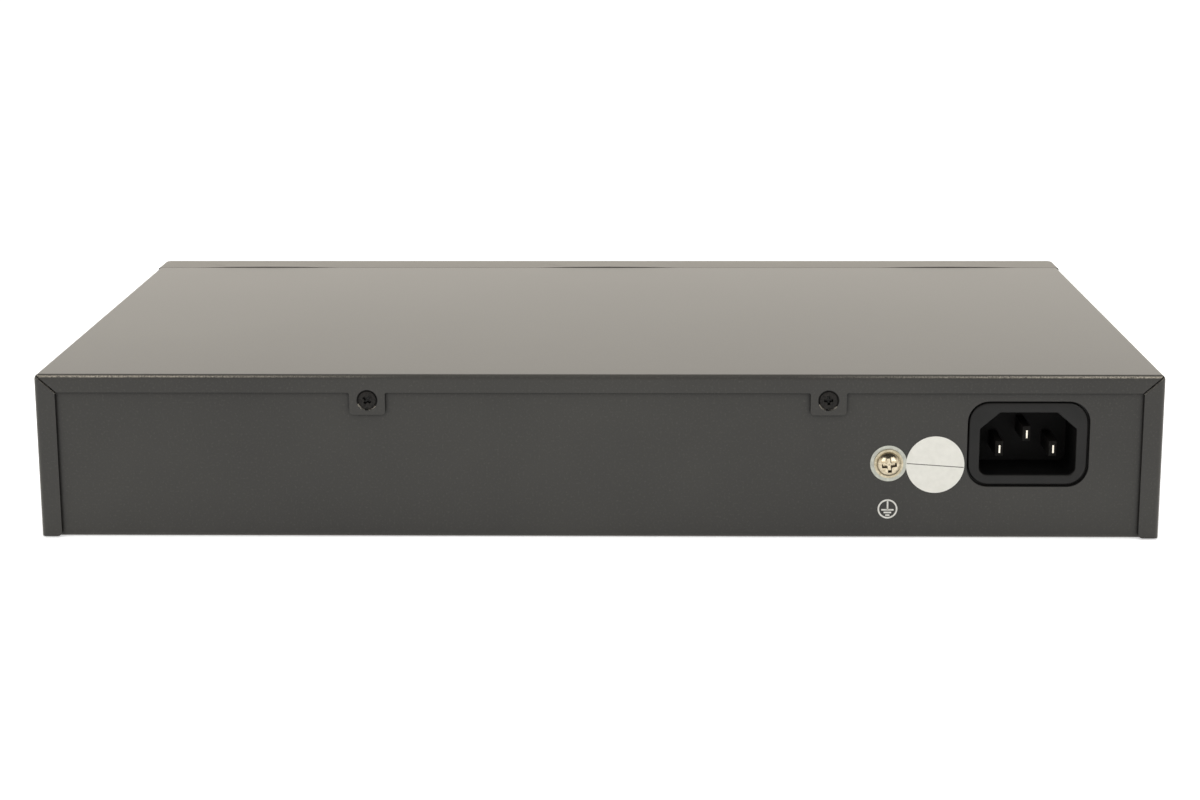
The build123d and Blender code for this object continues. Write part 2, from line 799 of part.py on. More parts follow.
# Jacks: a moulded block of eight, a folded shield round it and the gold spring contacts
with BuildPart() as contact:
    with BuildSketch(Plane.YZ):
        with BuildLine():
            Polyline(
                (jack_front + contact_setback, plug_top - lap_gap / 2),
                (jack_front + contact_setback + 2 * contact_thickness, plug_top - lap_gap / 2),
                (jack_front + plug_depth - lap_gap / 2, plug_top - contact_fall),
                (jack_front + plug_depth - lap_gap / 2, plug_top - contact_fall - contact_thickness),
                close=True,
            )
        make_face()
    extrude(amount=contact_width / 2, both=True)

for block_name, block_x in (("left_jack", left_block_x), ("right_jack", right_block_x)):
    with BuildPart() as housing:
        with BuildSketch(Plane.XY.offset(board_top)):
            with Locations((block_x, jack_front)):
                Rectangle(jack_width, jack_depth, align=(Align.CENTER, Align.MIN))
        extrude(amount=jack_height)
        with BuildSketch(front_view.offset(-jack_inset)):
            with Locations((block_x, 0)):
                with GridLocations(port_pitch, 0, ports_per_block, 1):
                    with Locations((0, plug_floor)):
                        Rectangle(plug_width, plug_height, align=(Align.CENTER, Align.MIN))
                        Rectangle(latch_width, latch_height, align=(Align.CENTER, Align.MAX))
                    with Locations((0, plug_floor - latch_height)):
                        Rectangle(latch_foot_width, latch_foot_height, align=(Align.CENTER, Align.MAX))
        extrude(amount=-plug_depth, mode=Mode.SUBTRACT)
    finish(housing.part, block_name + "_housing")

    with BuildPart() as shield:
        with BuildSketch(Plane.XY.offset(board_top)):
            with Locations((block_x, jack_front + shield_sheet)):
                Rectangle(
                    jack_width + 2 * shield_wrap,
                    jack_depth + shield_gap,
                    align=(Align.CENTER, Align.MIN),
                )
        extrude(amount=jack_height + shield_wrap)
        with BuildSketch(Plane.XY.offset(board_top)):
            with Locations((block_x, jack_front)):
                Rectangle(
                    jack_width + 2 * shield_gap,
                    jack_depth + shield_gap,
                    align=(Align.CENTER, Align.MIN),
                )
        extrude(amount=jack_height + shield_gap, mode=Mode.SUBTRACT)
        spring_rear = tray_front_inner + spring_length / 2
        with BuildSketch(Plane.YZ.offset(block_x), mode=Mode.PRIVATE) as spring:
            with BuildLine():
                Polyline(
                    (spring_rear - spring_length, jack_top + shield_wrap),
                    (spring_rear - spring_length / 2, jack_top + shield_wrap + spring_rise),
                    (spring_rear, jack_top + shield_wrap),
                    close=True,
                )
            make_face()
        extrude(
            [Pos(X=place.position.X) * spring.sketch.face() for place in ports_in_block],
            amount=spring_width / 2,
            both=True,
        )
    finish(shield.part, block_name + "_shield")

    with BuildPart() as contacts:
        with Locations((block_x, 0)):
            with GridLocations(port_pitch, 0, ports_per_block, 1):
                with GridLocations(contact_pitch, 0, contacts_per_port, 1):
                    add(contact.part)
    finish(contacts.part, block_name + "_contacts")


def can(radius, height):
    """An upright electrolytic can at the origin, with a rolled edge."""
    with BuildPart() as body:
        with BuildSketch():
            RegularPolygon(radius, round_sides)
        extrude(amount=height)
        chamfer(body.faces().sort_by(Axis.Z)[-1].edges(), length=can_edge)
    return body.part


def power_package():
    """A transistor package with a metal tab, standing on three legs, its tab's back on the XZ plane."""
    with BuildPart() as package:
        with BuildSketch(Plane.XY.offset(package_rise)):
            Rectangle(package_width, package_thickness, align=(Align.CENTER, Align.MAX))
        extrude(amount=package_body_height)
        chamfer(package.faces().sort_by(Axis.Y)[0].edges(), length=leg_width / 2)
        with BuildSketch(Plane.XY.offset(package_rise)):
            Rectangle(package_width, package_tab_thickness, align=(Align.CENTER, Align.MAX))
        extrude(amount=package_tab_height)
        with BuildSketch(Plane.XY):
            with Locations((0, -package_thickness / 2)):
                with GridLocations(leg_pitch, 0, 3, 1):
                    Rectangle(leg_width, leg_width)
        extrude(amount=package_rise)
    return package.part


def flat_chip(side, height, corner):
    """A square chip at the origin with bevelled upper edges."""
    with BuildPart() as chip:
        Box(side, side, height, align=(Align.CENTER, Align.CENTER, Align.MIN))
        chamfer(chip.faces().sort_by(Axis.Z)[-1].edges(), length=corner)
    return chip.part


# Power board, first column: bulk capacitor, choke, film capacitor and fuse
column_x = power_board_left + row_gap + film_capacitor_length / 2
bulk_y = power_board_front + 2 * board_hole_inset + bulk_radius
choke_y = bulk_y + bulk_radius + close_gap + choke_flange_radius
film_y = choke_y + choke_flange_radius + close_gap + film_capacitor_width / 2
fuse_y = film_y + film_capacitor_width / 2 + close_gap + fuse_radius

with BuildPart() as bulk_capacitor:
    with Locations(on_board(column_x, bulk_y)):
        add(can(bulk_radius, bulk_height))
finish(bulk_capacitor.part, "bulk_capacitor")

choke_limb_x = (choke_core_width - choke_core_limb) / 2
choke_window = choke_core_height - 2 * choke_core_limb
with BuildPart() as choke_core:
    with BuildSketch(Plane.XZ.offset(-choke_y)):
        with Locations((column_x, board_top + choke_core_height / 2)):
            Rectangle(choke_core_width, choke_core_height)
            Rectangle(choke_core_width - 2 * choke_core_limb, choke_window, mode=Mode.SUBTRACT)
    extrude(amount=choke_core_limb / 2, both=True)
finish(choke_core.part, "choke_core")

with BuildPart() as choke_coils:
    coil_floor = board_view.offset(choke_core_limb + choke_slack)
    coil_length = choke_window - 2 * choke_slack
    coil_places = [(column_x - choke_limb_x, choke_y), (column_x + choke_limb_x, choke_y)]
    with BuildSketch(coil_floor):
        with Locations(*coil_places):
            RegularPolygon(choke_coil_radius, round_sides)
    extrude(amount=coil_length)
    with BuildSketch(coil_floor, coil_floor.offset(coil_length - choke_flange_thickness)):
        with Locations(*coil_places):
            Rectangle(2 * choke_flange_radius, 2 * choke_flange_radius)
    extrude(amount=choke_flange_thickness)
    with BuildSketch(coil_floor):
        with Locations(*coil_places):
            Rectangle(choke_core_limb + choke_slack, choke_core_limb + choke_slack)
    extrude(amount=coil_length, mode=Mode.SUBTRACT)
finish(choke_coils.part, "choke_coils")

with BuildPart() as film_capacitor:
    with BuildSketch(board_view):
        with Locations((column_x, film_y)):
            Rectangle(film_capacitor_length, film_capacitor_width)
    extrude(amount=film_capacitor_height)
    chamfer(film_capacitor.faces().sort_by(Axis.Z)[-1].edges(), length=soft_edge)
finish(film_capacitor.part, "film_capacitor")

with BuildPart() as fuse:
    with BuildSketch(board_view):
        with Locations((power_board_left + row_gap + fuse_radius, fuse_y)):
            RegularPolygon(fuse_radius, round_sides)
    extrude(amount=fuse_height)
    chamfer(fuse.faces().sort_by(Axis.Z)[-1].edges(), length=soft_edge)
finish(fuse.part, "fuse")

# Power board, second column: heat sink with the switching transistor, then the bridge rectifier
sink_x = column_x + film_capacitor_length / 2 + row_gap + heatsink_thickness / 2
sink_y = power_board_front + 2 * board_hole_inset + heatsink_length / 2
with BuildPart() as primary_heatsink:
    with BuildSketch(board_view):
        with Locations((sink_x, sink_y)):
            Rectangle(heatsink_thickness, heatsink_length)
            with Locations((heatsink_thickness / 2, heatsink_length / 2)):
                Rectangle(heatsink_fin_depth, heatsink_thickness, align=(Align.MIN, Align.MAX))
    extrude(amount=heatsink_height)
    fillet(
        primary_heatsink.edges().filter_by(Axis.Z).sort_by_distance(
            (sink_x - heatsink_thickness / 2, sink_y + heatsink_length / 2, board_top)
        )[0],
        radius=heatsink_thickness,
    )
finish(primary_heatsink.part, "primary_heatsink")

with BuildPart() as switching_transistor:
    with Locations(Location((sink_x + heatsink_thickness / 2, sink_y, board_top), (0, 0, 90))):
        add(power_package())
finish(switching_transistor.part, "switching_transistor")

bridge_x = sink_x - heatsink_thickness / 2 + bridge_length / 2
with BuildPart() as bridge_rectifier:
    with BuildSketch(board_view.offset(package_rise)):
        with Locations((bridge_x, film_y)):
            Rectangle(bridge_length, bridge_width)
    extrude(amount=bridge_height)
    marked_edge = bridge_rectifier.edges().filter_by(Axis.Y).group_by(Axis.Z)[-1].sort_by(Axis.X)[-1]
    chamfer(marked_edge, length=bridge_width)
    with BuildSketch(board_view):
        with Locations((bridge_x, film_y)):
            with GridLocations(leg_pitch * 1.5, 0, 4, 1):
                Rectangle(leg_width, leg_width)
    extrude(amount=package_rise)
finish(bridge_rectifier.part, "bridge_rectifier")

# Power board, third column: transformer, safety capacitor and optical coupler
transformer_x = sink_x + heatsink_thickness / 2 + package_thickness + row_gap + core_length / 2
transformer_y = bulk_y + row_gap + winding_depth / 2
core_window = core_height - 2 * core_limb
window_x = core_length - 2 * core_limb
transformer_place = (transformer_x, transformer_y)
with BuildPart() as transformer_core:
    with BuildSketch(Plane.XZ.offset(-transformer_y)):
        with Locations((transformer_x, board_top + core_height / 2)):
            Rectangle(core_length, core_height)
            Rectangle(window_x, core_window, mode=Mode.SUBTRACT)
            Rectangle(core_middle_limb, core_height)
    extrude(amount=core_depth / 2, both=True)
    split(bisect_by=Plane.XY.offset(board_top + core_height / 2), keep=Keep.BOTH)
finish(transformer_core.part, "transformer_core")

flange_floor = board_view.offset(core_limb + core_slack)
flange_span = core_window - 2 * core_slack
tube_x = core_middle_limb + 2 * core_slack
tube_y = core_depth + 2 * core_slack
with BuildPart() as transformer_bobbin:
    with BuildSketch(flange_floor, flange_floor.offset(flange_span - bobbin_flange)):
        with Locations(transformer_place):
            Rectangle(window_x - 2 * core_slack, winding_depth + 2 * bobbin_flange)
    extrude(amount=bobbin_flange)
    with BuildSketch(flange_floor):
        with Locations(transformer_place):
            Rectangle(tube_x + 2 * bobbin_tube, tube_y + 2 * bobbin_tube)
    extrude(amount=flange_span)
    with BuildSketch(flange_floor):
        with Locations(transformer_place):
            Rectangle(tube_x, tube_y)
    extrude(amount=flange_span, mode=Mode.SUBTRACT)
    with BuildSketch(board_view):
        with Locations(transformer_place):
            with GridLocations(0, winding_depth + 2 * bobbin_flange - bobbin_rail, 1, 2):
                Rectangle(core_length, bobbin_rail)
    extrude(amount=core_limb + core_slack + bobbin_flange)
finish(transformer_bobbin.part, "transformer_bobbin")

with BuildPart() as transformer_winding:
    with BuildSketch(flange_floor.offset(bobbin_flange)):
        with Locations(transformer_place):
            RectangleRounded(window_x - 4 * core_slack, winding_depth, core_limb)
            Rectangle(tube_x + 2 * bobbin_tube, tube_y + 2 * bobbin_tube, mode=Mode.SUBTRACT)
    extrude(amount=flange_span - 2 * bobbin_flange)
finish(transformer_winding.part, "transformer_winding")

small_row_y = transformer_y - winding_depth / 2 - bobbin_flange - row_gap / 2 - disc_thickness / 2
with BuildPart() as safety_capacitor:
    with BuildSketch(Plane.XZ.offset(-small_row_y)):
        with Locations((transformer_x - disc_radius - row_gap / 2, board_top + disc_rise + disc_radius)):
            Circle(disc_radius)
            with GridLocations(leg_pitch * 2, 0, 2, 1):
                Rectangle(leg_width, disc_radius + disc_rise, align=(Align.CENTER, Align.MAX))
    extrude(amount=disc_thickness / 2, both=True)
finish(safety_capacitor.part, "safety_capacitor")

with BuildPart() as optical_coupler:
    with BuildSketch(board_view):
        with Locations((transformer_x + coupler_length, small_row_y)):
            Rectangle(coupler_length, coupler_width)
    extrude(amount=coupler_height)
    chamfer(optical_coupler.faces().sort_by(Axis.Z)[-1].edges(), length=leg_width)
finish(optical_coupler.part, "optical_coupler")

# Surge absorber beside the inlet
with BuildPart() as surge_absorber:
    absorber_x = -inlet_x + inlet_body_width / 2 + row_gap
    with BuildSketch(Plane.YZ.offset(absorber_x)):
        with Locations((inlet_rear + disc_radius, board_top + disc_rise + disc_radius)):
            Circle(disc_radius)
            with GridLocations(leg_pitch * 2, 0, 2, 1):
                Rectangle(leg_width, disc_radius + disc_rise, align=(Align.CENTER, Align.MAX))
    extrude(amount=disc_thickness)
finish(surge_absorber.part, "surge_absorber")

# Power board, fourth column: output inductor, capacitors, rectifier on its heat sink and the output header
output_x = transformer_x + core_length / 2 + row_gap + output_radius
inductor_y = power_board_front + 2 * board_hole_inset + inductor_radius
first_output_y = inductor_y + inductor_radius + row_gap / 2 + output_radius
second_output_y = first_output_y + 2 * output_radius + row_gap / 2
output_sink_y = second_output_y + output_radius + row_gap
with BuildPart() as output_inductor:
    with BuildSketch(board_view):
        with Locations((output_x, inductor_y)):
            RegularPolygon(inductor_radius, round_sides)
    extrude(amount=inductor_height)
    chamfer(output_inductor.faces().sort_by(Axis.Z)[-1].edges(), length=can_edge)
finish(output_inductor.part, "output_inductor")

with BuildPart() as output_capacitors:
    with Locations(on_board(output_x, first_output_y), on_board(output_x, second_output_y)):
        add(can(output_radius, output_height))
finish(output_capacitors.part, "output_capacitors")

with BuildPart() as output_heatsink:
    with BuildSketch(board_view):
        with Locations((output_x, output_sink_y)):
            Rectangle(output_sink_length, heatsink_thickness, align=(Align.CENTER, Align.MIN))
            with Locations((-output_sink_length / 2, 0)):
                Rectangle(heatsink_thickness, heatsink_fin_depth, align=(Align.MIN, Align.MIN))
    extrude(amount=output_sink_height)
finish(output_heatsink.part, "output_heatsink")

with BuildPart() as output_rectifier:
    with Locations(Location((output_x, output_sink_y + heatsink_thickness, board_top), (0, 0, 180))):
        add(power_package())
finish(output_rectifier.part, "output_rectifier")

# Headers and the two-wire lead from the power board to the main board
output_header_y = output_sink_y + heatsink_thickness + package_thickness + row_gap + header_depth / 2
supply_header_y = main_board_rear - row_gap - header_depth / 2
header_places = {
    "output_header": (output_x, output_header_y),
    "supply_header": (supply_header_x, supply_header_y),
}
plug_floor_z = board_top + header_wall
plug_top_z = board_top + header_height + plug_stand
plug_size = (header_width - 2 * (header_wall + plug_gap), header_depth - 2 * (header_wall + plug_gap))
for header_name, header_place in header_places.items():
    with BuildPart() as header:
        with BuildSketch(board_view):
            with Locations(header_place):
                Rectangle(header_width, header_depth)
        extrude(amount=header_height)
        with BuildSketch(Plane.XY.offset(plug_floor_z)):
            with Locations(header_place):
                Rectangle(header_width - 2 * header_wall, header_depth - 2 * header_wall)
        extrude(amount=header_height, mode=Mode.SUBTRACT)
    finish(header.part, header_name)
    with BuildPart() as plug:
        with BuildSketch(Plane.XY.offset(plug_floor_z)):
            with Locations(header_place):
                Rectangle(*plug_size)
        extrude(amount=plug_top_z - plug_floor_z)
    finish(plug.part, header_name.replace("header", "plug"))

for wire_name, wire_side in (("supply_wire_positive", -1), ("supply_wire_return", 1)):
    start_x = output_x + wire_side * wire_spacing / 2
    end_x = supply_header_x + wire_side * wire_spacing / 2
    with BuildPart() as wire:
        with BuildLine() as route:
            FilletPolyline(
                (start_x, output_header_y, plug_top_z),
                (start_x, output_header_y, wire_arch),
                (end_x, supply_header_y, wire_arch),
                (end_x, supply_header_y, plug_top_z),
                radius=wire_drop * 0.45,
            )
        with BuildSketch(Plane.XY.offset(plug_top_z)):
            with Locations((start_x, output_header_y)):
                RegularPolygon(wire_radius, wire_sides)
        sweep()
    print(wire_name, "length", round(route.wires()[0].length, 1))
    finish(wire.part, wire_name)

# Earth wire from the ring lug down to the power board
barrel_end_x = -barrel_start - lug_barrel_length
earth_foot = (-inlet_x + inlet_body_width / 2 + 2 * row_gap + disc_thickness, inlet_rear + disc_radius)
with BuildPart() as earth_wire:
    with BuildLine() as earth_route:
        FilletPolyline(
            (barrel_end_x, barrel_y, ground_height),
            (earth_foot[0], barrel_y, ground_height),
            (earth_foot[0], earth_foot[1], ground_height),
            (earth_foot[0], earth_foot[1], board_top),
            radius=2 * wire_radius,
        )
    with BuildSketch(Plane.YZ.offset(barrel_end_x)):
        with Locations((barrel_y, ground_height)):
            RegularPolygon(wire_radius, wire_sides)
    sweep()
finish(earth_wire.part, "earth_wire")

# Main board: port transformers behind the jacks, switch chip under a finned heat sink and its neighbours
with BuildPart() as port_transformers:
    modules = ports_per_block // ports_per_transformer
    with BuildSketch(board_view):
        for block_x in block_places:
            with Locations((block_x, port_transformer_y)):
                with GridLocations(port_pitch * ports_per_transformer, 0, modules, 1):
                    Rectangle(port_transformer_length, port_transformer_depth)
    extrude(amount=port_transformer_height)
    chamfer(port_transformers.faces().filter_by(Axis.Z).group_by(Axis.Z)[-1].edges(), length=soft_edge)
finish(port_transformers.part, "port_transformers")

chip_y = port_transformer_y + port_transformer_depth / 2 + row_gap / 2 + sink_side / 2
chip_x = ports_middle + board_screw_head_radius + row_gap + sink_side / 2
phy_right_x = chip_x + sink_side / 2 + 2 * row_gap + phy_side / 2
phy_left_x = ports_middle - board_screw_head_radius - row_gap - phy_side / 2
memory_x = phy_right_x + phy_side / 2 + row_gap + memory_side / 2
with BuildPart() as switch_chip:
    with Locations(on_board(chip_x, chip_y)):
        add(flat_chip(chip_side, chip_height, chip_edge))
finish(switch_chip.part, "switch_chip")

with BuildPart() as switch_heatsink:
    fin_pitch = (sink_side - sink_fin_thickness) / (sink_fins - 1)
    with BuildSketch(board_view.offset(chip_height)):
        with Locations((chip_x, chip_y)):
            Rectangle(sink_side, sink_side)
    extrude(amount=sink_base)
    with BuildSketch(board_view.offset(chip_height + sink_base)):
        with Locations((chip_x, chip_y)):
            with GridLocations(fin_pitch, 0, sink_fins, 1):
                Rectangle(sink_fin_thickness, sink_side)
    extrude(amount=sink_height - sink_base)
finish(switch_heatsink.part, "switch_heatsink")

with BuildPart() as port_chips:
    with Locations(on_board(phy_left_x, chip_y), on_board(phy_right_x, chip_y)):
        add(flat_chip(phy_side, phy_height, chip_edge))
finish(port_chips.part, "port_chips")

with BuildPart() as memory_chip:
    with Locations(on_board(memory_x, chip_y)):
        add(flat_chip(memory_side, memory_height, chip_edge))
finish(memory_chip.part, "memory_chip")

with BuildPart() as crystals:
    with BuildSketch(board_view) as crystal_outline:
        crystal_left_x = phy_left_x - phy_side / 2 - row_gap - crystal_length / 2
        crystal_right_x = memory_x + memory_side / 2 + row_gap + crystal_length / 2
        with Locations((crystal_left_x, chip_y), (crystal_right_x, chip_y)):
            Rectangle(crystal_length, crystal_width)
        chamfer(crystal_outline.vertices(), length=crystal_width / 3)
    extrude(amount=crystal_height)
finish(crystals.part, "crystals")

with BuildPart() as board_capacitors:
    first_can_x = supply_header_x + header_width / 2 + row_gap + board_can_radius
    second_can_x = first_can_x + 2 * board_can_radius + row_gap / 2
    with Locations(on_board(first_can_x, supply_header_y), on_board(second_can_x, supply_header_y)):
        add(can(board_can_radius, board_can_height))
finish(board_capacitors.part, "board_capacitors")

with BuildPart() as board_inductors:
    first_inductor_x = supply_header_x - header_width / 2 - row_gap - power_inductor_side / 2
    second_inductor_x = first_inductor_x - power_inductor_side - row_gap
    with Locations(on_board(first_inductor_x, supply_header_y), on_board(second_inductor_x, supply_header_y)):
        add(flat_chip(power_inductor_side, power_inductor_height, chip_edge))
finish(board_inductors.part, "board_inductors")

# Lamps: chips on the main board behind the jacks, and a clear guide from them over the jacks to the bezel
leg_front = jack_rear + shield_wrap + part_gap
leg_rear = leg_front + lamp_leg
guide_front = front_plane + 2 * lamp_gap
guide_half_height = lamp_height / 2 - lamp_gap
bar_front = tray_front_inner + part_gap
with BuildPart() as light_guide:
    with BuildSketch(Plane.YZ, mode=Mode.PRIVATE) as bent_guide:
        with BuildLine():
            Polyline(
                (guide_front, lamp_centre_height - guide_half_height),
                (leg_front, lamp_centre_height - guide_half_height),
                (leg_front, board_top + lamp_chip_height),
                (leg_rear, board_top + lamp_chip_height),
                (leg_rear, lamp_centre_height + guide_half_height - lamp_leg),
                (leg_rear - lamp_leg, lamp_centre_height + guide_half_height),
                (guide_front, lamp_centre_height + guide_half_height),
                close=True,
            )
        make_face()
    extrude(
        [Pos(X=port_x) * bent_guide.sketch.face() for port_x in port_places],
        amount=lamp_width / 2 - lamp_gap,
        both=True,
    )
    with BuildSketch(Plane.XY.offset(lamp_centre_height - guide_half_height)):
        with Locations((port_places[0], bar_front)):
            Rectangle(port_places[-1] - port_places[0], lamp_bar_depth, align=(Align.MIN, Align.MIN))
    extrude(amount=2 * guide_half_height)
finish(light_guide.part, "light_guide")

with BuildPart() as lamp_chips:
    with BuildSketch(board_view):
        with Locations(*[(port_x, (leg_front + leg_rear) / 2) for port_x in port_places]):
            Rectangle(lamp_width - 2 * lamp_gap, lamp_leg)
    extrude(amount=lamp_chip_height)
finish(lamp_chips.part, "lamp_chips")

for part in finished:
    export_step(part, f"parts/{part.label}.step")
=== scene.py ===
# A desktop network switch seen from behind: paint, metal and moulded finishes, and the small fittings
import math

import bmesh
import bpy
from mathutils import Matrix, Vector


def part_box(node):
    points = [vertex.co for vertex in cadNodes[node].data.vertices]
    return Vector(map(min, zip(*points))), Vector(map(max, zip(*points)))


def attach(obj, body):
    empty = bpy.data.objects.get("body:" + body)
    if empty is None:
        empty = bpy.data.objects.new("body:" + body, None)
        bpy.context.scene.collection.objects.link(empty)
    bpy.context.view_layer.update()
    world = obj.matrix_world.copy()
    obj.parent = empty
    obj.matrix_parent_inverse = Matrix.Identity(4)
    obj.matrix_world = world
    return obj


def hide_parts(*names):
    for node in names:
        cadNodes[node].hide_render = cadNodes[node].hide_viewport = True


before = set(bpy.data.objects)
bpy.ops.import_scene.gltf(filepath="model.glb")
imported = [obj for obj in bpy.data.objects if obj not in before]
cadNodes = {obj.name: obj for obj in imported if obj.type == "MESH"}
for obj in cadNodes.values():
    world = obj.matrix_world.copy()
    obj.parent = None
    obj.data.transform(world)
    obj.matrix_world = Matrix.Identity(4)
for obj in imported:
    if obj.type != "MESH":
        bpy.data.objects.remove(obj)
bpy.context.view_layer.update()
mm = 0.001
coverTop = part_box("top_cover")[1]
print("frame loaded:", len(cadNodes), "nodes")


# small helpers for materials

def linearColour(hexText):
    # sRGB hex to the linear values that Blender's sockets take
    channels = [int(hexText[i:i + 2], 16) / 255 for i in (1, 3, 5)]
    return tuple(c / 12.92 if c <= 0.04045 else ((c + 0.055) / 1.055) ** 2.4 for c in channels) + (1.0,)


def addNode(owner, kind, settings=None, links=None):
    # one node with its settings; a ramp is (place, hex colour) twice, and links map an input to (node, output)
    node = owner.node_tree.nodes.new(kind)
    for key, value in (settings or {}).items():
        if key == "ramp":
            for element, (place, colour) in zip(node.color_ramp.elements, value):
                element.position = place
                element.color = linearColour(colour)
        elif isinstance(key, str) and hasattr(node, key):
            setattr(node, key, value)
        else:
            node.inputs[key].default_value = value
    for key, (source, output) in (links or {}).items():
        owner.node_tree.links.new(source.outputs[output], node.inputs[key])
    return node


# the sockets of a Mix node that take and give colours, by number, because their names repeat
mixShare, mixUnder, mixOver, mixResult = 0, 6, 7, 2


def between(start, end, low=0.0, high=1.0):
    # a Map Range node's settings: from low to high while its value goes from start to end
    return {"From Min": start, "From Max": end, "To Min": low, "To Max": high}


def startMaterial(name):
    material = bpy.data.materials.new(name)
    material.use_nodes = True
    material.node_tree.nodes.clear()
    return material


def finishMaterial(material, values, colour, bump):
    # the surface, from a finish's values, its colour as (node, output) and its bump
    settings = {"Roughness": values["roughness"], "Metallic": values["metallic"], "IOR": values["ior"],
                "Specular IOR Level": values["specular"], "Sheen Weight": values["sheen"],
                "Sheen Roughness": values["sheenRoughness"], "Sheen Tint": linearColour(values["sheenTint"])}
    shader = addNode(material, "ShaderNodeBsdfPrincipled", settings,
                     {"Base Color": colour, "Normal": (bump, "Normal")})
    addNode(material, "ShaderNodeOutputMaterial", {}, {"Surface": (shader, 0)})
    return material


# what a finish has unless it says otherwise; spread is where its noise turns from the first colour to the second
finishDefaults = {"metallic": 0.0, "ior": 1.5, "specular": 0.5, "sheen": 0.0, "sheenRoughness": 0.5,
                  "sheenTint": "#ffffff", "spread": (0.3, 0.7), "detail": 3.0, "stretch": (1.0, 1.0, 1.0)}

# polyester powder coat on steel: a fine even orange peel that turns pale at a glancing angle
powderCoat = {
    "colours": ("#31302e", "#383734"), "cloudMm": 60.0,
    "grain": "#5b5953", "grainMm": 0.6, "grainRange": (0.55, 0.75), "grainShare": 0.2, "fineDetail": 2.0,
    "roughness": 0.34, "specular": 0.25, "sheen": 0.68, "sheenRoughness": 0.42, "sheenTint": "#fff7ea",
    "peelMm": 0.6, "peelRoughness": 0.6, "peelStrength": 0.3, "peelHeightMm": 0.03,
    # the shade in a crevice: how wide it is, between which openness it fades, and how much light it leaves
    "cornerMm": 1.2, "cornerRange": (0.4, 0.9), "cornerShare": 0.08, "cornerRays": 8,
}
# where the top bends down to the lip: pale grains a little below the top, most at both ends, a painted highlight
# of the coat's peel catching the light along the bend
bendGlints = {"colour": "#c4bbaa", "patternMm": 0.4, "grains": (0.25, 0.75), "share": 0.86, "calmShare": 0.03,
            "bendMm": 1.5, "dropMm": (0.2, 0.6), "fadeMm": 0.25, "calmTo": 0.05, "glintFrom": 0.13}


def paintBendGlints(material, place, colour):
    # the share of the painted highlight's pale grains is a product of fades along Y, Z and X, and of the grains'
    # own noise
    values = bendGlints
    split = addNode(material, "ShaderNodeSeparateXYZ", {}, place)
    outward = addNode(material, "ShaderNodeMath", {"operation": "ABSOLUTE"}, {0: (split, "X")})
    glintGrains = addNode(material, "ShaderNodeTexNoise",
                  {"Scale": 1 / (values["patternMm"] * mm), "Detail": powderCoat["fineDetail"]}, place)
    fade = values["fadeMm"] * mm
    behind = coverTop.y - values["bendMm"] * mm
    highest, lowest = (coverTop.z - drop * mm for drop in values["dropMm"])
    factors = [
        ((split, "Y"), between(behind - fade, behind)),
        ((split, "Z"), between(highest, highest - fade)),
        ((split, "Z"), between(lowest - fade, lowest)),
        ((outward, "Value"), between(values["calmTo"], values["glintFrom"], values["calmShare"], values["share"])),
        ((glintGrains, "Fac"), between(*values["grains"])),
    ]
    share = None
    for source, settings in factors:
        factor = (addNode(material, "ShaderNodeMapRange", settings, {"Value": source}), "Result")
        if share is None:
            share = factor
        else:
            product = addNode(material, "ShaderNodeMath", {"operation": "MULTIPLY"}, {0: share, 1: factor})
            share = (product, "Value")
    return addNode(material, "ShaderNodeMix", {"data_type": "RGBA", mixOver: linearColour(values["colour"])},
                   {mixShare: share, mixUnder: (colour, mixResult)})


def makePowderCoat(name, withGlints=False):
    values = {**finishDefaults, **powderCoat}
    material = startMaterial(name)
    place = {"Vector": (addNode(material, "ShaderNodeTexCoord"), "Object")}
    cloud = addNode(material, "ShaderNodeTexNoise",
                    {"Scale": 1 / (values["cloudMm"] * mm), "Detail": values["detail"]}, place)
    ground = addNode(material, "ShaderNodeValToRGB", {"ramp": zip(values["spread"], values["colours"])},
                     {"Fac": (cloud, "Fac")})
    grain = addNode(material, "ShaderNodeTexNoise",
                    {"Scale": 1 / (values["grainMm"] * mm), "Detail": values["fineDetail"]}, place)
    grainSpots = addNode(material, "ShaderNodeMapRange",
                         between(*values["grainRange"], high=values["grainShare"]), {"Value": (grain, "Fac")})
    colour = addNode(material, "ShaderNodeMix", {"data_type": "RGBA", mixOver: linearColour(values["grain"])},
                     {mixShare: (grainSpots, "Result"), mixUnder: (ground, "Color")})
    # the pale grains along the bend are a painted highlight
    if withGlints:
        colour = paintBendGlints(material, place, colour)
    # painted shade: the coat's colour is darkened in the gaps between the sheets, as far as each spot is closed
    # in
    crevice = addNode(material, "ShaderNodeAmbientOcclusion",
                      {"samples": values["cornerRays"], "Distance": values["cornerMm"] * mm})
    shade = addNode(material, "ShaderNodeMapRange",
                    between(*values["cornerRange"], low=values["cornerShare"]), {"Value": (crevice, "AO")})
    colour = addNode(material, "ShaderNodeMix", {"data_type": "RGBA", "blend_type": "MULTIPLY", mixShare: 1.0},
                     {mixUnder: (colour, mixResult), mixOver: (shade, "Result")})
    peel = addNode(material, "ShaderNodeTexNoise",
                   {"Scale": 1 / (values["peelMm"] * mm), "Detail": values["fineDetail"],
                    "Roughness": values["peelRoughness"]}, place)
    bump = addNode(material, "ShaderNodeBump",
                   {"Strength": values["peelStrength"], "Distance": values["peelHeightMm"] * mm},
                   {"Height": (peel, "Fac")})
    return finishMaterial(material, values, (colour, mixResult), bump)


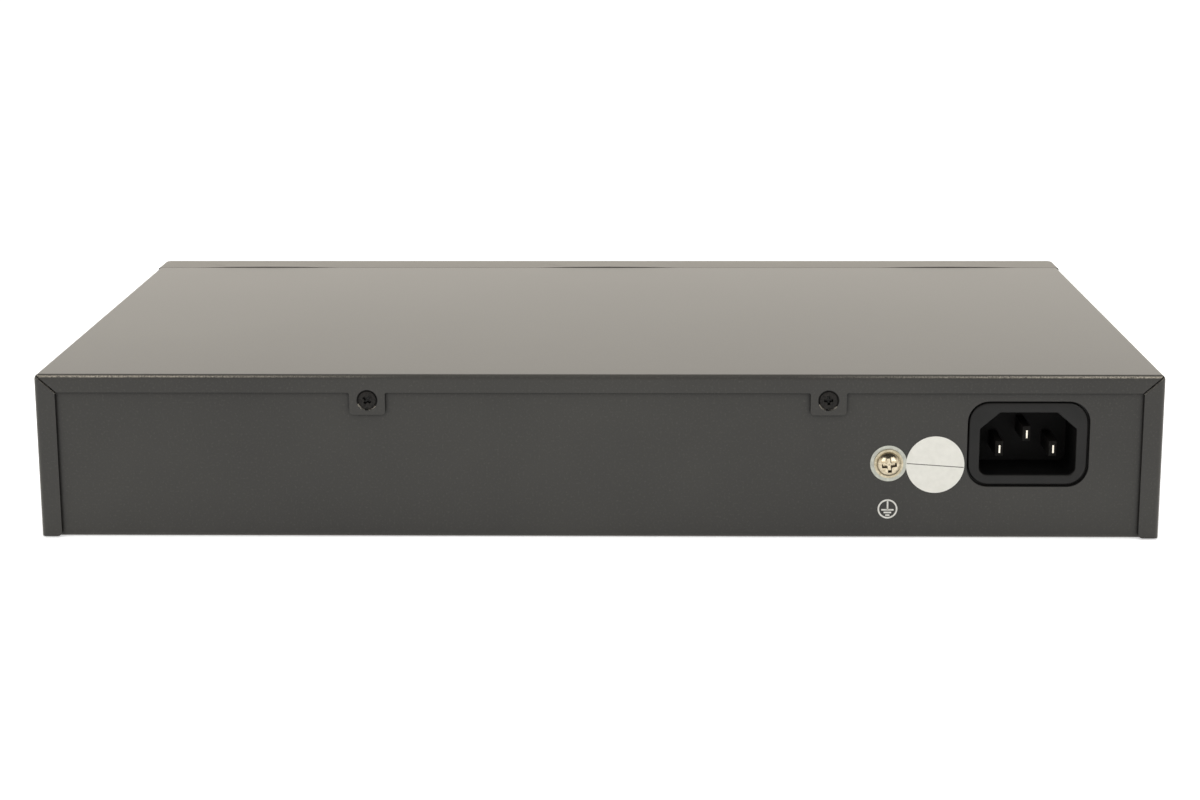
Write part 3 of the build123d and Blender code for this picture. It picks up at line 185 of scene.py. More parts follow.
# every other finish: what it is made of, its two colours, the size of its pattern, and its relief as the strength
# of the bump and its height in millimetres
finishes = {
    # moulded ABS, spark-eroded texture: even and dull
    "texturedAbs": {"colours": ("#31302e", "#3a3936"), "patternMm": 0.8, "roughness": 0.36, "relief": (0.3, 0.03),
                    "specular": 0.25, "sheen": 0.56, "sheenRoughness": 0.42, "sheenTint": "#fff5e4"},
    # painted shade on the cut edges of the sheets: the coat made near black and dull, for the shade beside the
    # gaps
    "paintedShadeCoat": {"colours": ("#181817", "#222120"), "patternMm": 0.8, "roughness": 0.6, "relief": (0.2, 0.02),
                 "specular": 0.1},
    # black PBT, moulded in a polished tool: satin, with faint flow clouds
    "blackPbt": {"colours": ("#121211", "#191817"), "patternMm": 6.0, "roughness": 0.42, "relief": (0.15, 0.01),
                 "specular": 0.25},
    # the same moulding inside its cavity, darker and duller: a painted shade of the deep cavity
    "blackPbtShaded": {"colours": ("#080808", "#0e0d0d"), "patternMm": 6.0, "roughness": 0.6,
                       "relief": (0.15, 0.01), "specular": 0.15},
    # moulded nylon, unfilled and undyed or black: soft satin
    "blackNylon": {"colours": ("#161616", "#202020"), "patternMm": 2.0, "roughness": 0.45, "relief": (0.2, 0.01)},
    "whiteNylon": {"colours": ("#d6d3c6", "#e3e0d4"), "patternMm": 1.0, "roughness": 0.45, "relief": (0.2, 0.01)},
    # bright zinc on steel: grey with fine streaks and a cool cast
    "brightZinc": {"colours": ("#96978f", "#b1b2a8"), "patternMm": 1.2, "metallic": 1.0, "roughness": 0.35,
                   "relief": (0.15, 0.01)},
    # nickel on steel, barrel plated: warm and bright, slightly hazy
    "warmNickel": {"colours": ("#b3a68c", "#d8ccb4"), "patternMm": 0.8, "metallic": 1.0, "roughness": 0.2,
                   "relief": (0.1, 0.01)},
    # zinc chromate, matt and cream
    "creamWasher": {"colours": ("#a79c80", "#cfc5ad"), "patternMm": 0.7, "metallic": 0.6, "roughness": 0.4,
                    "relief": (0.2, 0.02)},
    # painted shade on the sides of the cross recess: dull and dark brown
    "recessShade": {"colours": ("#2c2318", "#57472f"), "patternMm": 0.5, "metallic": 0.7, "roughness": 0.4,
                    "relief": (0.2, 0.02)},
    # steel rubbed bright by the driver, put only on the lower rims of the dimples that face up to the light:
    # partly a painted highlight
    "rubbedLitSteel": {"colours": ("#7a766f", "#b0aba2"), "patternMm": 0.5, "metallic": 1.0, "roughness": 0.35,
                    "relief": (0.2, 0.01)},
    # steel blackened in oil: near black, soft gleam; in the cross recess darker and duller, a painted shade
    "blackenedSteel": {"colours": ("#141312", "#282624"), "patternMm": 0.5, "metallic": 0.8, "roughness": 0.4,
                       "relief": (0.3, 0.02)},
    "blackenedShadedRecess": {"colours": ("#0a0a0a", "#141312"), "patternMm": 0.5, "metallic": 0.5, "roughness": 0.45,
                        "relief": (0.3, 0.02)},
    # tin plated brass strip: pale and smooth
    "tinPlate": {"colours": ("#a8a9a9", "#c6c7c7"), "patternMm": 3.0, "metallic": 1.0, "roughness": 0.28,
                 "relief": (0.1, 0.01)},
    # sides of the blades, stamped and dull; their near black is a painted shade of the dark cavity around them
    "bladeShaded": {"colours": ("#100f0e", "#1c1a18"), "patternMm": 1.0, "metallic": 0.3, "roughness": 0.6,
                  "relief": (0.1, 0.01), "specular": 0.2},
    # nickel on the tips of the blades, rubbed smooth: bright and warm
    "bladeNickel": {"colours": ("#d6cfc0", "#f0eadc"), "patternMm": 1.0, "metallic": 1.0, "roughness": 0.22,
                    "relief": (0.1, 0.01)},
    # a flash of gold on the jacks' contacts: yellow and smooth
    "flashGold": {"colours": ("#c79a42", "#e3bd66"), "patternMm": 1.0, "metallic": 1.0, "roughness": 0.25,
                  "relief": (0.1, 0.01)},
    # coated label paper: matt, with faint fibres
    "labelPaper": {"colours": ("#dddbd2", "#e4e2d9"), "patternMm": 1.5, "roughness": 0.6, "relief": (0.05, 0.01)},
    # grey ink printed on the label
    "labelInk": {"colours": ("#62605a", "#74726b"), "patternMm": 0.5, "roughness": 0.6, "relief": (0.1, 0.01)},
    # pale ink screen printed on the coat
    "screenInk": {"colours": ("#c9c7bf", "#dcdad3"), "patternMm": 0.5, "roughness": 0.5, "relief": (0.2, 0.01)},
    # green solder resist over glass laminate: glossy
    "solderResist": {"colours": ("#0f3d22", "#17552f"), "patternMm": 3.0, "roughness": 0.3,
                     "relief": (0.2, 0.02)},
    # polyester sheet, milky and glossy
    "polyesterFilm": {"colours": ("#b9baa9", "#c9cab9"), "patternMm": 20.0, "roughness": 0.2,
                      "relief": (0.1, 0.02)},
    # epoxy moulding compound of chips: near black and grainy
    "epoxyResin": {"colours": ("#1b1b1c", "#29292a"), "patternMm": 0.8, "roughness": 0.5, "relief": (0.3, 0.02)},
    # ferrite, pressed and sintered: dark grey, matt and rough
    "sinteredFerrite": {"colours": ("#333336", "#434347"), "patternMm": 1.0, "roughness": 0.6,
                        "relief": (0.4, 0.03)},
    # enamelled copper wire, wound: fine ridges across the axis stand for the turns
    "enamelledCopper": {"colours": ("#9b4f27", "#c7733f"), "patternMm": 0.6, "metallic": 0.9, "roughness": 0.3,
                        "relief": (0.6, 0.1), "stretch": (1.0, 1.0, 8.0)},
    # polyester tape: yellow, with a soft gloss
    "polyesterTape": {"colours": ("#c79a1f", "#ddb233"), "patternMm": 4.0, "roughness": 0.35,
                      "relief": (0.2, 0.02)},
    # shrunk PVC sleeve on the capacitors: dark blue and glossy
    "shrinkSleeve": {"colours": ("#141a2e", "#1d2540"), "patternMm": 5.0, "roughness": 0.3,
                     "relief": (0.1, 0.02)},
    # extruded aluminium: bright, with lines along the extrusion
    "bareAluminium": {"colours": ("#b8b9ba", "#cdcecf"), "patternMm": 1.0, "metallic": 1.0, "roughness": 0.35,
                      "relief": (0.2, 0.02), "stretch": (1.0, 1.0, 0.1)},
    # ceramic disc dipped in epoxy: blue, glossy and uneven
    "dippedCeramic": {"colours": ("#23498c", "#2e5aa6"), "patternMm": 2.0, "roughness": 0.3,
                      "relief": (0.3, 0.05)},
    # extruded PVC on the wires: even, with a dull gloss
    "redSleeving": {"colours": ("#7d1414", "#9c1c1c"), "patternMm": 2.0, "roughness": 0.4, "relief": (0.2, 0.02)},
    "blackSleeving": {"colours": ("#121212", "#1e1e1e"), "patternMm": 2.0, "roughness": 0.4,
                      "relief": (0.2, 0.02)},
    "greenSleeving": {"colours": ("#2d6e2f", "#8a9a2c"), "patternMm": 3.0, "roughness": 0.4,
                      "relief": (0.2, 0.02)},
    # clear acrylic light guide, seen against the dark inside: pale and frosted
    "frostedAcrylic": {"colours": ("#c6c8c0", "#d6d8d0"), "patternMm": 1.0, "roughness": 0.25,
                       "relief": (0.1, 0.01)},
    # epoxy lens of the lamps: pale yellow
    "lampResin": {"colours": ("#d8d59a", "#e8e6b4"), "patternMm": 0.4, "roughness": 0.3, "relief": (0.1, 0.01)},
}
madeFinishes = {}


def finish(name):
    # each finish is made once, from its values above
    if name not in madeFinishes:
        values = {**finishDefaults, **finishes[name]}
        material = startMaterial(name)
        place = {"Vector": (addNode(material, "ShaderNodeTexCoord"), "Object")}
        mapping = addNode(material, "ShaderNodeMapping", {"Scale": values["stretch"]}, place)
        pattern = addNode(material, "ShaderNodeTexNoise",
                          {"Scale": 1 / (values["patternMm"] * mm), "Detail": values["detail"]},
                          {"Vector": (mapping, "Vector")})
        colour = addNode(material, "ShaderNodeValToRGB", {"ramp": zip(values["spread"], values["colours"])},
                         {"Fac": (pattern, "Fac")})
        strength, heightMm = values["relief"]
        bump = addNode(material, "ShaderNodeBump", {"Strength": strength, "Distance": heightMm * mm},
                       {"Height": (pattern, "Fac")})
        madeFinishes[name] = finishMaterial(material, values, (colour, "Color"), bump)
    return madeFinishes[name]


nodeFinishes = {
    "rear_cover_screws": "blackenedSteel", "ground_screw": "warmNickel", "ground_washer": "creamWasher",
    "earth_ring_lug": "tinPlate", "ground_nut": "brightZinc", "inspection_sticker": "labelPaper",
    "inlet_body": "blackPbt", "inlet_line_blade": "bladeNickel", "inlet_neutral_blade": "bladeNickel",
    "inlet_earth_blade": "bladeNickel", "front_bezel": "texturedAbs", "main_board": "solderResist",
    "power_board": "solderResist", "insulating_film": "polyesterFilm", "board_standoffs": "brightZinc",
    "board_screws": "brightZinc", "left_jack_housing": "blackNylon", "right_jack_housing": "blackNylon",
    "left_jack_shield": "tinPlate", "right_jack_shield": "tinPlate", "left_jack_contacts": "flashGold",
    "right_jack_contacts": "flashGold", "bulk_capacitor": "shrinkSleeve", "choke_core": "sinteredFerrite",
    "choke_coils": "enamelledCopper", "film_capacitor": "polyesterTape", "fuse": "epoxyResin",
    "primary_heatsink": "bareAluminium", "switching_transistor": "epoxyResin", "bridge_rectifier": "epoxyResin",
    "transformer_core": "sinteredFerrite", "transformer_bobbin": "blackNylon",
    "transformer_winding": "polyesterTape", "safety_capacitor": "dippedCeramic", "optical_coupler": "epoxyResin",
    "surge_absorber": "dippedCeramic", "output_inductor": "sinteredFerrite", "output_capacitors": "shrinkSleeve",
    "output_heatsink": "bareAluminium", "output_rectifier": "epoxyResin", "output_header": "whiteNylon",
    "output_plug": "whiteNylon", "supply_header": "whiteNylon", "supply_plug": "whiteNylon",
    "supply_wire_positive": "redSleeving", "supply_wire_return": "blackSleeving", "earth_wire": "greenSleeving",
    "port_transformers": "epoxyResin", "switch_chip": "epoxyResin", "switch_heatsink": "bareAluminium",
    "port_chips": "epoxyResin", "memory_chip": "epoxyResin", "crystals": "bareAluminium",
    "board_capacitors": "bareAluminium", "board_inductors": "sinteredFerrite", "light_guide": "frostedAcrylic",
    "lamp_chips": "lampResin",
}
nodeMaterials = {name: finish(kind) for name, kind in nodeFinishes.items()}
# the cover's coat carries the painted highlight along its rear bend
nodeMaterials["top_cover"] = makePowderCoat("powderCoatCover", withGlints=True)
nodeMaterials["base_tray"] = makePowderCoat("powderCoatTray")
for name, node in cadNodes.items():
    node.data.materials.clear()
    node.data.materials.append(nodeMaterials[name])
print("finishes:", len(bpy.data.materials))


# small helpers for pieces

def meshFrom(name, mesh, materials=()):
    # a bmesh, written out as a mesh and freed
    data = bpy.data.meshes.new(name)
    mesh.to_mesh(data)
    mesh.free()
    for material in materials:
        data.materials.append(material)
    return data


def addObject(name, data):
    # a new object at the origin, in the scene
    made = bpy.data.objects.new(name, data)
    bpy.context.scene.collection.objects.link(made)
    return made


def makePiece(name, mesh, materials, replaced=()):
    # a finished bmesh becomes an object that rides with the case
    piece = addObject(name, meshFrom(name, mesh, materials))
    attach(piece, "root")
    if replaced:
        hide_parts(*replaced)
    return piece


def softenEdges(piece, width, segments=2, angle=35.0):
    # the small radius that paint, punching or moulding leaves on an edge
    bevel = piece.modifiers.new("edges", "BEVEL")
    bevel.width = width
    bevel.segments = segments
    bevel.limit_method = "ANGLE"
    bevel.angle_limit = math.radians(angle)
    bevel.harden_normals = True


fittingAngle = 40.0   # screws and the inlet are smooth up to this many degrees


def shadeByAngle(mesh, angle=30.0):
    for face in mesh.faces:
        face.smooth = True
    for edge in mesh.edges:
        edge.smooth = len(edge.link_faces) == 2 and edge.calc_face_angle() < math.radians(angle)


def middleOf(nodeName):
    low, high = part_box(nodeName)
    return (low + high) / 2


def faceRear(mesh, place, turn=0.0):
    # a shape in millimetres, drawn flat with z towards the eye, is stood at its place, to be seen from behind
    standing = Matrix.Rotation(math.radians(180), 4, "Z") @ Matrix.Rotation(math.radians(90), 4, "X")
    turned = standing @ Matrix.Rotation(math.radians(turn), 4, "Z")
    bmesh.ops.transform(mesh, matrix=Matrix.Translation(place) @ turned @ Matrix.Scale(mm, 4), verts=mesh.verts)


# how near the corners of packed triangles are merged, and how flat faces are that become one
packed = {"mergeMm": 0.002, "flatAngle": 0.3}


def mergedCopy(nodeName):
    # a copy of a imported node's loose triangles, joined at their corners
    mesh = bmesh.new()
    mesh.from_mesh(cadNodes[nodeName].data)
    bmesh.ops.remove_doubles(mesh, verts=mesh.verts, dist=packed["mergeMm"] * mm)
    return mesh


def joinFlats(mesh):
    bmesh.ops.dissolve_limit(mesh, angle_limit=math.radians(packed["flatAngle"]), verts=mesh.verts,
                             edges=mesh.edges)


def calmSwell(mesh, share):
    # the bezel bows up between its hooks a little less than its solid does
    for vert in mesh.verts:
        if vert.co.z > coverTop.z:
            vert.co.z = coverTop.z + (vert.co.z - coverTop.z) * share


# the rear of the cover, in millimetres from its top and from its rear face: its bends, the tabs of its lip with
# their screws and dimples, and between which bearings in degrees a dimple's lower rim is rubbed bright and
# painted lit as a highlight. A face is an edge, or the side of a dimple, while its normal has less than the given
# share along Y
rearEdges = {"bendMm": 3.0, "sheetDepthMm": 1.3, "edgeNormal": 0.3,
             "tabSpacingMm": 120.0, "tabHalfMm": (4.0, 5.8), "tabNarrowMm": 0.48, "tabDepthMm": 1.1,
             "tabTopMm": 4.74, "screwDropMm": 6.75, "dimpleMm": 3.1, "dimpleNormal": 0.9,
             "rubbedLit": ((203, 252), (270, 325)), "inletDepthMm": 3.0}


def fromTab(point):
    # how far a point lies from the middle line of the nearer tab, along X
    return point.x - math.copysign(rearEdges["tabSpacingMm"] / 2 * mm, point.x)


def narrowTabs(mesh):
    # each tab of the lip is a little narrower than in its solid
    values = rearEdges
    least, most = (half * mm for half in values["tabHalfMm"])
    for vert in mesh.verts:
        behind = vert.co.y > coverTop.y - values["tabDepthMm"] * mm
        below = vert.co.z < coverTop.z - values["tabTopMm"] * mm
        offset = fromTab(vert.co)
        if behind and below and least < abs(offset) < most:
            vert.co.x -= math.copysign(values["tabNarrowMm"] * mm, offset)


def shadeCoverEdges(mesh):
    # the cut edges of lip, tabs, flanges and dimples take the painted shade; the dimples' lower rims are rubbed
    # bright and take a painted highlight
    values = rearEdges
    bend = values["bendMm"] * mm
    for face in mesh.faces:
        middle = face.calc_center_median()
        if middle.y <= coverTop.y - values["sheetDepthMm"] * mm:
            continue
        cutEdge = abs(face.normal.y) < values["edgeNormal"]
        across, up = fromTab(middle), middle.z - coverTop.z + values["screwDropMm"] * mm
        dimple = math.hypot(across, up) < values["dimpleMm"] * mm and abs(face.normal.y) < values["dimpleNormal"]
        clearOfBends = abs(middle.x) < coverTop.x - bend and middle.z < coverTop.z - bend
        if clearOfBends and (cutEdge or dimple):
            face.material_index = 1
        bearing = math.degrees(math.atan2(up, -across)) % 360
        # the lower rims take rubbed bright steel, partly a painted highlight where light from above falls
        if dimple and not cutEdge and any(start < bearing < end for start, end in values["rubbedLit"]):
            face.material_index = 2


def shadeTrayEdges(mesh):
    # the cut edges of the inlet's opening take the painted shade
    low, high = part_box("inlet_body")
    nearest = high.y - rearEdges["inletDepthMm"] * mm
    for face in mesh.faces:
        middle = face.calc_center_median()
        inside = low.x < middle.x < high.x and low.z < middle.z < high.z and middle.y > nearest
        if inside and abs(face.normal.y) < rearEdges["edgeNormal"]:
            face.material_index = 1


# finished copies of imported nodes: how much their edges are softened, what their cut edges show (painted shade,
# and on the cover's dimples a painted highlight), and how much of its swell the bezel keeps
dressed = {
    "top_cover": {"edgeMm": 0.15, "cutEdges": ("paintedShadeCoat", "rubbedLitSteel")},
    "base_tray": {"edgeMm": 0.15, "cutEdges": ("paintedShadeCoat",)},
    "front_bezel": {"edgeMm": 0.25, "swellShare": 0.6},
    "left_jack_housing": {"edgeMm": 0.1},
    "right_jack_housing": {"edgeMm": 0.1},
}


def dressedCopy(nodeName):
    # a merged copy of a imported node, with its flats joined up and its edges softened
    values = dressed[nodeName]
    mesh = mergedCopy(nodeName)
    if nodeName == "front_bezel":
        calmSwell(mesh, values["swellShare"])
    if nodeName == "top_cover":
        narrowTabs(mesh)
    joinFlats(mesh)
    shadeByAngle(mesh)
    mesh.normal_update()
    if nodeName == "top_cover":
        shadeCoverEdges(mesh)
    if nodeName == "base_tray":
        shadeTrayEdges(mesh)
    materials = [nodeMaterials[nodeName]] + [finish(other) for other in values.get("cutEdges", ())]
    piece = makePiece(nodeName + "_finished", mesh, materials, (nodeName,))
    softenEdges(piece, values["edgeMm"] * mm)


for name in dressed:
    dressedCopy(name)
print("case dressed:", len(dressed), "pieces")

# blades of the inlet: the flat of the nose is worn small and bright, as far as its faces look straight out; the
# other faces take a painted shade
blade = {"noseShare": (0.7, 0.8), "noseMm": 0.01, "brightNormal": 0.98, "edgeMm": 0.04}


def makeBlade(nodeName):
    mesh = mergedCopy(nodeName)
    joinFlats(mesh)
    tip = max(vert.co.y for vert in mesh.verts)
    nose = [vert for vert in mesh.verts if vert.co.y > tip - blade["noseMm"] * mm]
    middle = sum((vert.co for vert in nose), Vector()) / len(nose)
    shareX, shareZ = blade["noseShare"]
    for vert in nose:
        vert.co.x = middle.x + (vert.co.x - middle.x) * shareX
        vert.co.z = middle.z + (vert.co.z - middle.z) * shareZ
    mesh.normal_update()
    for face in mesh.faces:
        face.material_index = 0 if face.normal.y > blade["brightNormal"] else 1
    shadeByAngle(mesh)
    piece = makePiece(nodeName + "_finished", mesh, [finish("bladeNickel"), finish("bladeShaded")],
                      (nodeName,))
    softenEdges(piece, blade["edgeMm"] * mm)


for name in ("inlet_line_blade", "inlet_neutral_blade", "inlet_earth_blade"):
    makeBlade(name)

# mains inlet in millimetres: a face with a soft rim round its cavity, a neck through the wall, and a shoulder and
# a body behind it
inlet = {"face": (31.1, 22.2), "corner": 5.25, "cavity": (25.0, 16.6), "cavityDepth": 16.0,
         "topCorner": (5.3, 4.6), "bottomCorner": 2.1, "rim": 0.45, "edge": 0.6, "rimSteps": 4, "cornerSteps": 8,
         "neck": 1.3, "shoulder": (36.2, 27.3), "shoulderDepth": 3.0, "body": (29.0, 20.6),
         "footWidth": 3.0, "footDepth": 2.7}


def addOutline(mesh, corners):
    # a closed loop of edges through the corners, given as x and z
    verts = [mesh.verts.new((x, 0, z)) for x, z in corners]
    for i in range(len(verts)):
        mesh.edges.new((verts[i - 1], verts[i]))
    return verts


def roundVerts(mesh, verts, radius, steps):
    bmesh.ops.bevel(mesh, geom=verts, offset=radius, offset_type="OFFSET", segments=steps, profile=0.5,
                    affect="VERTICES", material=-1)


def pushLoop(mesh, edges, back, size=None):
    # extrude a loop of edges towards the front of the case, and fit it to a new width and height if given
    extruded = bmesh.ops.extrude_edge_only(mesh, edges=edges)["geom"]
    verts = [part for part in extruded if isinstance(part, bmesh.types.BMVert)]
    bmesh.ops.translate(mesh, verts=verts, vec=(0, -back, 0))
    if size is not None:
        width = max(v.co.x for v in verts) - min(v.co.x for v in verts)
        height = max(v.co.z for v in verts) - min(v.co.z for v in verts)
        bmesh.ops.scale(mesh, verts=verts, vec=(size[0] / width, 1.0, size[1] / height))
    return [part for part in extruded if isinstance(part, bmesh.types.BMEdge)]


def roundOver(mesh, edges, outline, radius, steps, side):
    # a quarter round from the flat face: into the cavity with side 1, over the outer edge with side -1
    for step in range(1, steps + 1):
        angle = step / steps * math.pi / 2
        last = (step - 1) / steps * math.pi / 2
        back = radius * (math.cos(last) - math.cos(angle))
        reach = side * radius * (1 - math.sin(angle))
        edges = pushLoop(mesh, edges, back, (outline[0] + 2 * reach, outline[1] + 2 * reach))
    return edges


def makeInlet():
    values = inlet
    low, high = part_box("inlet_body")
    mesh = bmesh.new()
    # the face, with the cavity's outline as a hole in it
    halfX, halfZ = (side / 2 - values["edge"] for side in values["face"])
    corners = addOutline(mesh, [(-halfX, -halfZ), (halfX, -halfZ), (halfX, halfZ), (-halfX, halfZ)])
    roundVerts(mesh, corners, values["corner"], values["cornerSteps"])
    outer = mesh.edges[:]
    halfX, halfZ = (side / 2 + values["rim"] for side in values["cavity"])
    cutX, cutZ = values["topCorner"]
    corners = addOutline(mesh, [(-halfX, -halfZ), (halfX, -halfZ), (halfX, halfZ - cutZ), (halfX - cutX, halfZ),
                                (cutX - halfX, halfZ), (-halfX, halfZ - cutZ)])
    roundVerts(mesh, corners[:2], values["bottomCorner"], values["cornerSteps"])
    inner = [edge for edge in mesh.edges if edge not in outer]
    bmesh.ops.triangle_fill(mesh, use_beauty=True, use_dissolve=False, edges=outer + inner, normal=(0, 1, 0))
    # the cavity, whose walls and floor take the darker moulding as a painted shade
    rim = roundOver(mesh, inner, values["cavity"], values["rim"], values["rimSteps"], 1)
    outside = set(mesh.faces)
    cavityFloor = pushLoop(mesh, rim, values["cavityDepth"] - values["rim"])
    bmesh.ops.contextual_create(mesh, geom=cavityFloor)
    for face in mesh.faces:
        face.material_index = 0 if face in outside else 1
    # the neck, the shoulder and the body, down to the depth of the solid
    bodyDepth = (high.y - low.y) / mm
    loop = roundOver(mesh, outer, values["face"], values["edge"], values["rimSteps"], -1)
    for back, size in ((values["neck"] - values["edge"], None), (0, values["shoulder"]),
                       (values["shoulderDepth"], None), (0, values["body"]),
                       (bodyDepth - values["neck"] - values["shoulderDepth"], None)):
        loop = pushLoop(mesh, loop, back, size)
    bmesh.ops.contextual_create(mesh, geom=loop)
    # two feet under the body, down to the lowest point of the solid
    lowest = (high.z - low.z) / mm - values["shoulder"][1] / 2
    bodyX, bodyZ = (side / 2 for side in values["body"])
    shape = Matrix.Diagonal((values["footWidth"], values["footDepth"], lowest - bodyZ, 1))
    for side in (-1, 1):
        foot = bmesh.ops.create_cube(mesh, size=1.0)["verts"]
        place = Matrix.Translation((side * (bodyX - values["footWidth"] / 2),
                                    values["footDepth"] / 2 - bodyDepth, -(lowest + bodyZ) / 2))
        bmesh.ops.transform(mesh, matrix=place @ shape, verts=foot)
    bmesh.ops.recalc_face_normals(mesh, faces=mesh.faces)
    place = Matrix.Translation(((low.x + high.x) / 2, high.y, high.z - values["shoulder"][1] / 2 * mm))
    bmesh.ops.transform(mesh, matrix=place @ Matrix.Scale(mm, 4), verts=mesh.verts)
    shadeByAngle(mesh, fittingAngle)
    materials = [finish("blackPbt"), finish("blackPbtShaded")]
    makePiece("inlet_moulding", mesh, materials, ("inlet_body",))


makeInlet()
print("inlet made")

# screws in millimetres and degrees: the head's profile of radius and height is spun, a cross is cut in it and
# ridges stand for the thread, from sink below the seat on
groundScrew = {"head": [(3.2, 0.0), (3.2, 0.3), (3.05, 0.62), (2.75, 0.98), (2.35, 1.32), (1.9, 1.6), (1.4, 1.8),
                        (0.8, 1.94), (0, 1.99)],
               "threadLength": 9.0, "sink": 0.01, "turn": 6,
               "cross": {"span": 4.4, "width": 1.15, "depth": 1.5, "taper": 0.7, "well": 1.1, "plated": True}}
tabScrews = {"head": [(2.34, -0.12), (2.28, -0.04), (2.05, 0.0), (1.2, 0.01), (0, 0.015)],
             "threadLength": 6.0, "sink": 1.05, "turns": (3, 54),
             "cross": {"span": 2.5, "width": 0.75, "depth": 1.0, "taper": 0.7, "well": 0.75, "plated": False}}
thread = {"radius": 1.5, "root": 1.25, "pitch": 0.6, "sides": 64, "mergeMm": 0.001}
# the cutter stands above the head; the cone of its well is deeper than the cross, and ends in a small point
crossCut = {"above": 0.15, "wellDeeper": 1.1, "wellPoint": 0.2, "wellSides": 24, "floorNormal": -0.5}


def crossCutter(cross):
    # two crossed wedges, narrower at the bottom, and a cone in the middle
    mesh = bmesh.new()
    height = cross["depth"] * crossCut["wellDeeper"] + crossCut["above"]
    cone = bmesh.ops.create_cone(mesh, cap_ends=True, segments=crossCut["wellSides"],
                                 radius1=cross["well"] * crossCut["wellPoint"], radius2=cross["well"],
                                 depth=height)["verts"]
    bmesh.ops.translate(mesh, verts=cone, vec=(0, 0, crossCut["above"] - height / 2))
    for lengthX, lengthY in ((cross["span"], cross["width"]), (cross["width"], cross["span"])):
        for vert in bmesh.ops.create_cube(mesh, size=1.0)["verts"]:
            atBottom = vert.co.z < 0
            shrink = cross["taper"] if atBottom else 1.0
            vert.co.x *= lengthX * shrink
            vert.co.y *= lengthY * shrink
            vert.co.z = -cross["depth"] if atBottom else crossCut["above"]
    mesh.normal_update()
    for face in mesh.faces:   # the sides of the recess take a painted shade, and its floor is plated in one of the screws
        atFloor = face.normal.z < crossCut["floorNormal"]
        face.material_index = 0 if atFloor and cross["plated"] else 1
    return mesh


def cutWith(target, cutter, materials):
    # take the cutter's shape out of the target bmesh, through a boolean on two passing objects
    passing = [addObject("passing", meshFrom("passing", source, materials)) for source in (target, cutter)]
    cut = passing[0].modifiers.new("cut", "BOOLEAN")
    cut.operation = "DIFFERENCE"
    cut.solver = "EXACT"
    cut.use_self = True
    cut.object = passing[1]
    bpy.context.view_layer.update()
    result = bmesh.new()
    result.from_object(passing[0], bpy.context.evaluated_depsgraph_get())
    for one in passing:
        data = one.data
        bpy.data.objects.remove(one)
        bpy.data.meshes.remove(data)
    return result


def makeScrew(values, place, turn, materials):
    # made with its seat at z = 0, its head above and its thread below, then stood at its place
    mesh = bmesh.new()
    points = values["head"][::-1] + [(thread["radius"], -values["sink"])]
    ridge = values["sink"]
    while ridge < values["threadLength"] - thread["pitch"]:
        points.append((thread["radius"], -ridge - thread["pitch"] / 4))
        points.append((thread["root"], -ridge - thread["pitch"] / 2))
        ridge += thread["pitch"]
    points += [(thread["root"], -values["threadLength"]), (0, -values["threadLength"])]
    verts = [mesh.verts.new((radius, 0, height)) for radius, height in points]
    for first, second in zip(verts, verts[1:]):
        mesh.edges.new((first, second))
    bmesh.ops.spin(mesh, geom=mesh.verts[:] + mesh.edges[:], cent=(0, 0, 0), axis=(0, 0, 1),
                   angle=2 * math.pi, steps=thread["sides"], use_merge=True)
    bmesh.ops.remove_doubles(mesh, verts=mesh.verts, dist=thread["mergeMm"])
    bmesh.ops.recalc_face_normals(mesh, faces=mesh.faces)
    cutter = crossCutter(values["cross"])
    headTop = values["head"][-1][1]
    bmesh.ops.translate(cutter, verts=cutter.verts, vec=(0, 0, headTop))
    mesh = cutWith(mesh, cutter, materials)
    faceRear(mesh, place, turn)
    return mesh


def makeGroundScrew():
    middle = middleOf("ground_screw")
    seat = (middle.x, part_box("ground_washer")[1].y, middle.z)
    materials = [finish("warmNickel"), finish("recessShade")]
    mesh = makeScrew(groundScrew, seat, groundScrew["turn"], materials)
    shadeByAngle(mesh, fittingAngle)
    makePiece("ground_screw_finished", mesh, materials, ("ground_screw",))


def makeTabScrews():
    # one at each end of the node's box, each with its own turn
    low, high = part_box("rear_cover_screws")
    radius = (high.z - low.z) / 2
    materials = [finish("blackenedSteel"), finish("blackenedShadedRecess")]
    mesh = bmesh.new()
    for screwX, turn in zip((low.x + radius, high.x - radius), tabScrews["turns"]):
        single = makeScrew(tabScrews, (screwX, high.y, (low.z + high.z) / 2), turn, materials)
        passing = meshFrom("passing", single)
        mesh.from_mesh(passing)
        bpy.data.meshes.remove(passing)
    shadeByAngle(mesh, fittingAngle)
    makePiece("tab_screws_finished", mesh, materials, ("rear_cover_screws",))


makeGroundScrew()
makeTabScrews()

# bare ring round the ground terminal, where the wall was masked from paint, in millimetres
bareRing = {"radius": 4.8, "thickness": 0.04, "sides": 72}


def makeBareRing():
    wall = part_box("ground_washer")[0].y
    middle = middleOf("ground_washer")
    mesh = bmesh.new()
    bmesh.ops.create_cone(mesh, cap_ends=True, segments=bareRing["sides"], radius1=bareRing["radius"],
                          radius2=bareRing["radius"], depth=bareRing["thickness"])
    faceRear(mesh, (middle.x, wall + bareRing["thickness"] / 2 * mm, middle.z))
    shadeByAngle(mesh)
    makePiece("bare_ring", mesh, [finish("brightZinc")])


makeBareRing()

# generic earth sign, printed: a ring, an upright and three bars that get shorter, in millimetres
earthSign = {"height": 7.9, "radius": 2.6, "line": 0.42, "thickness": 0.03, "sides": 64,
             "barSpacing": 0.72, "barLengths": (3.2, 2.0, 1.1), "uprightTop": 2.1, "firstBar": -0.25}


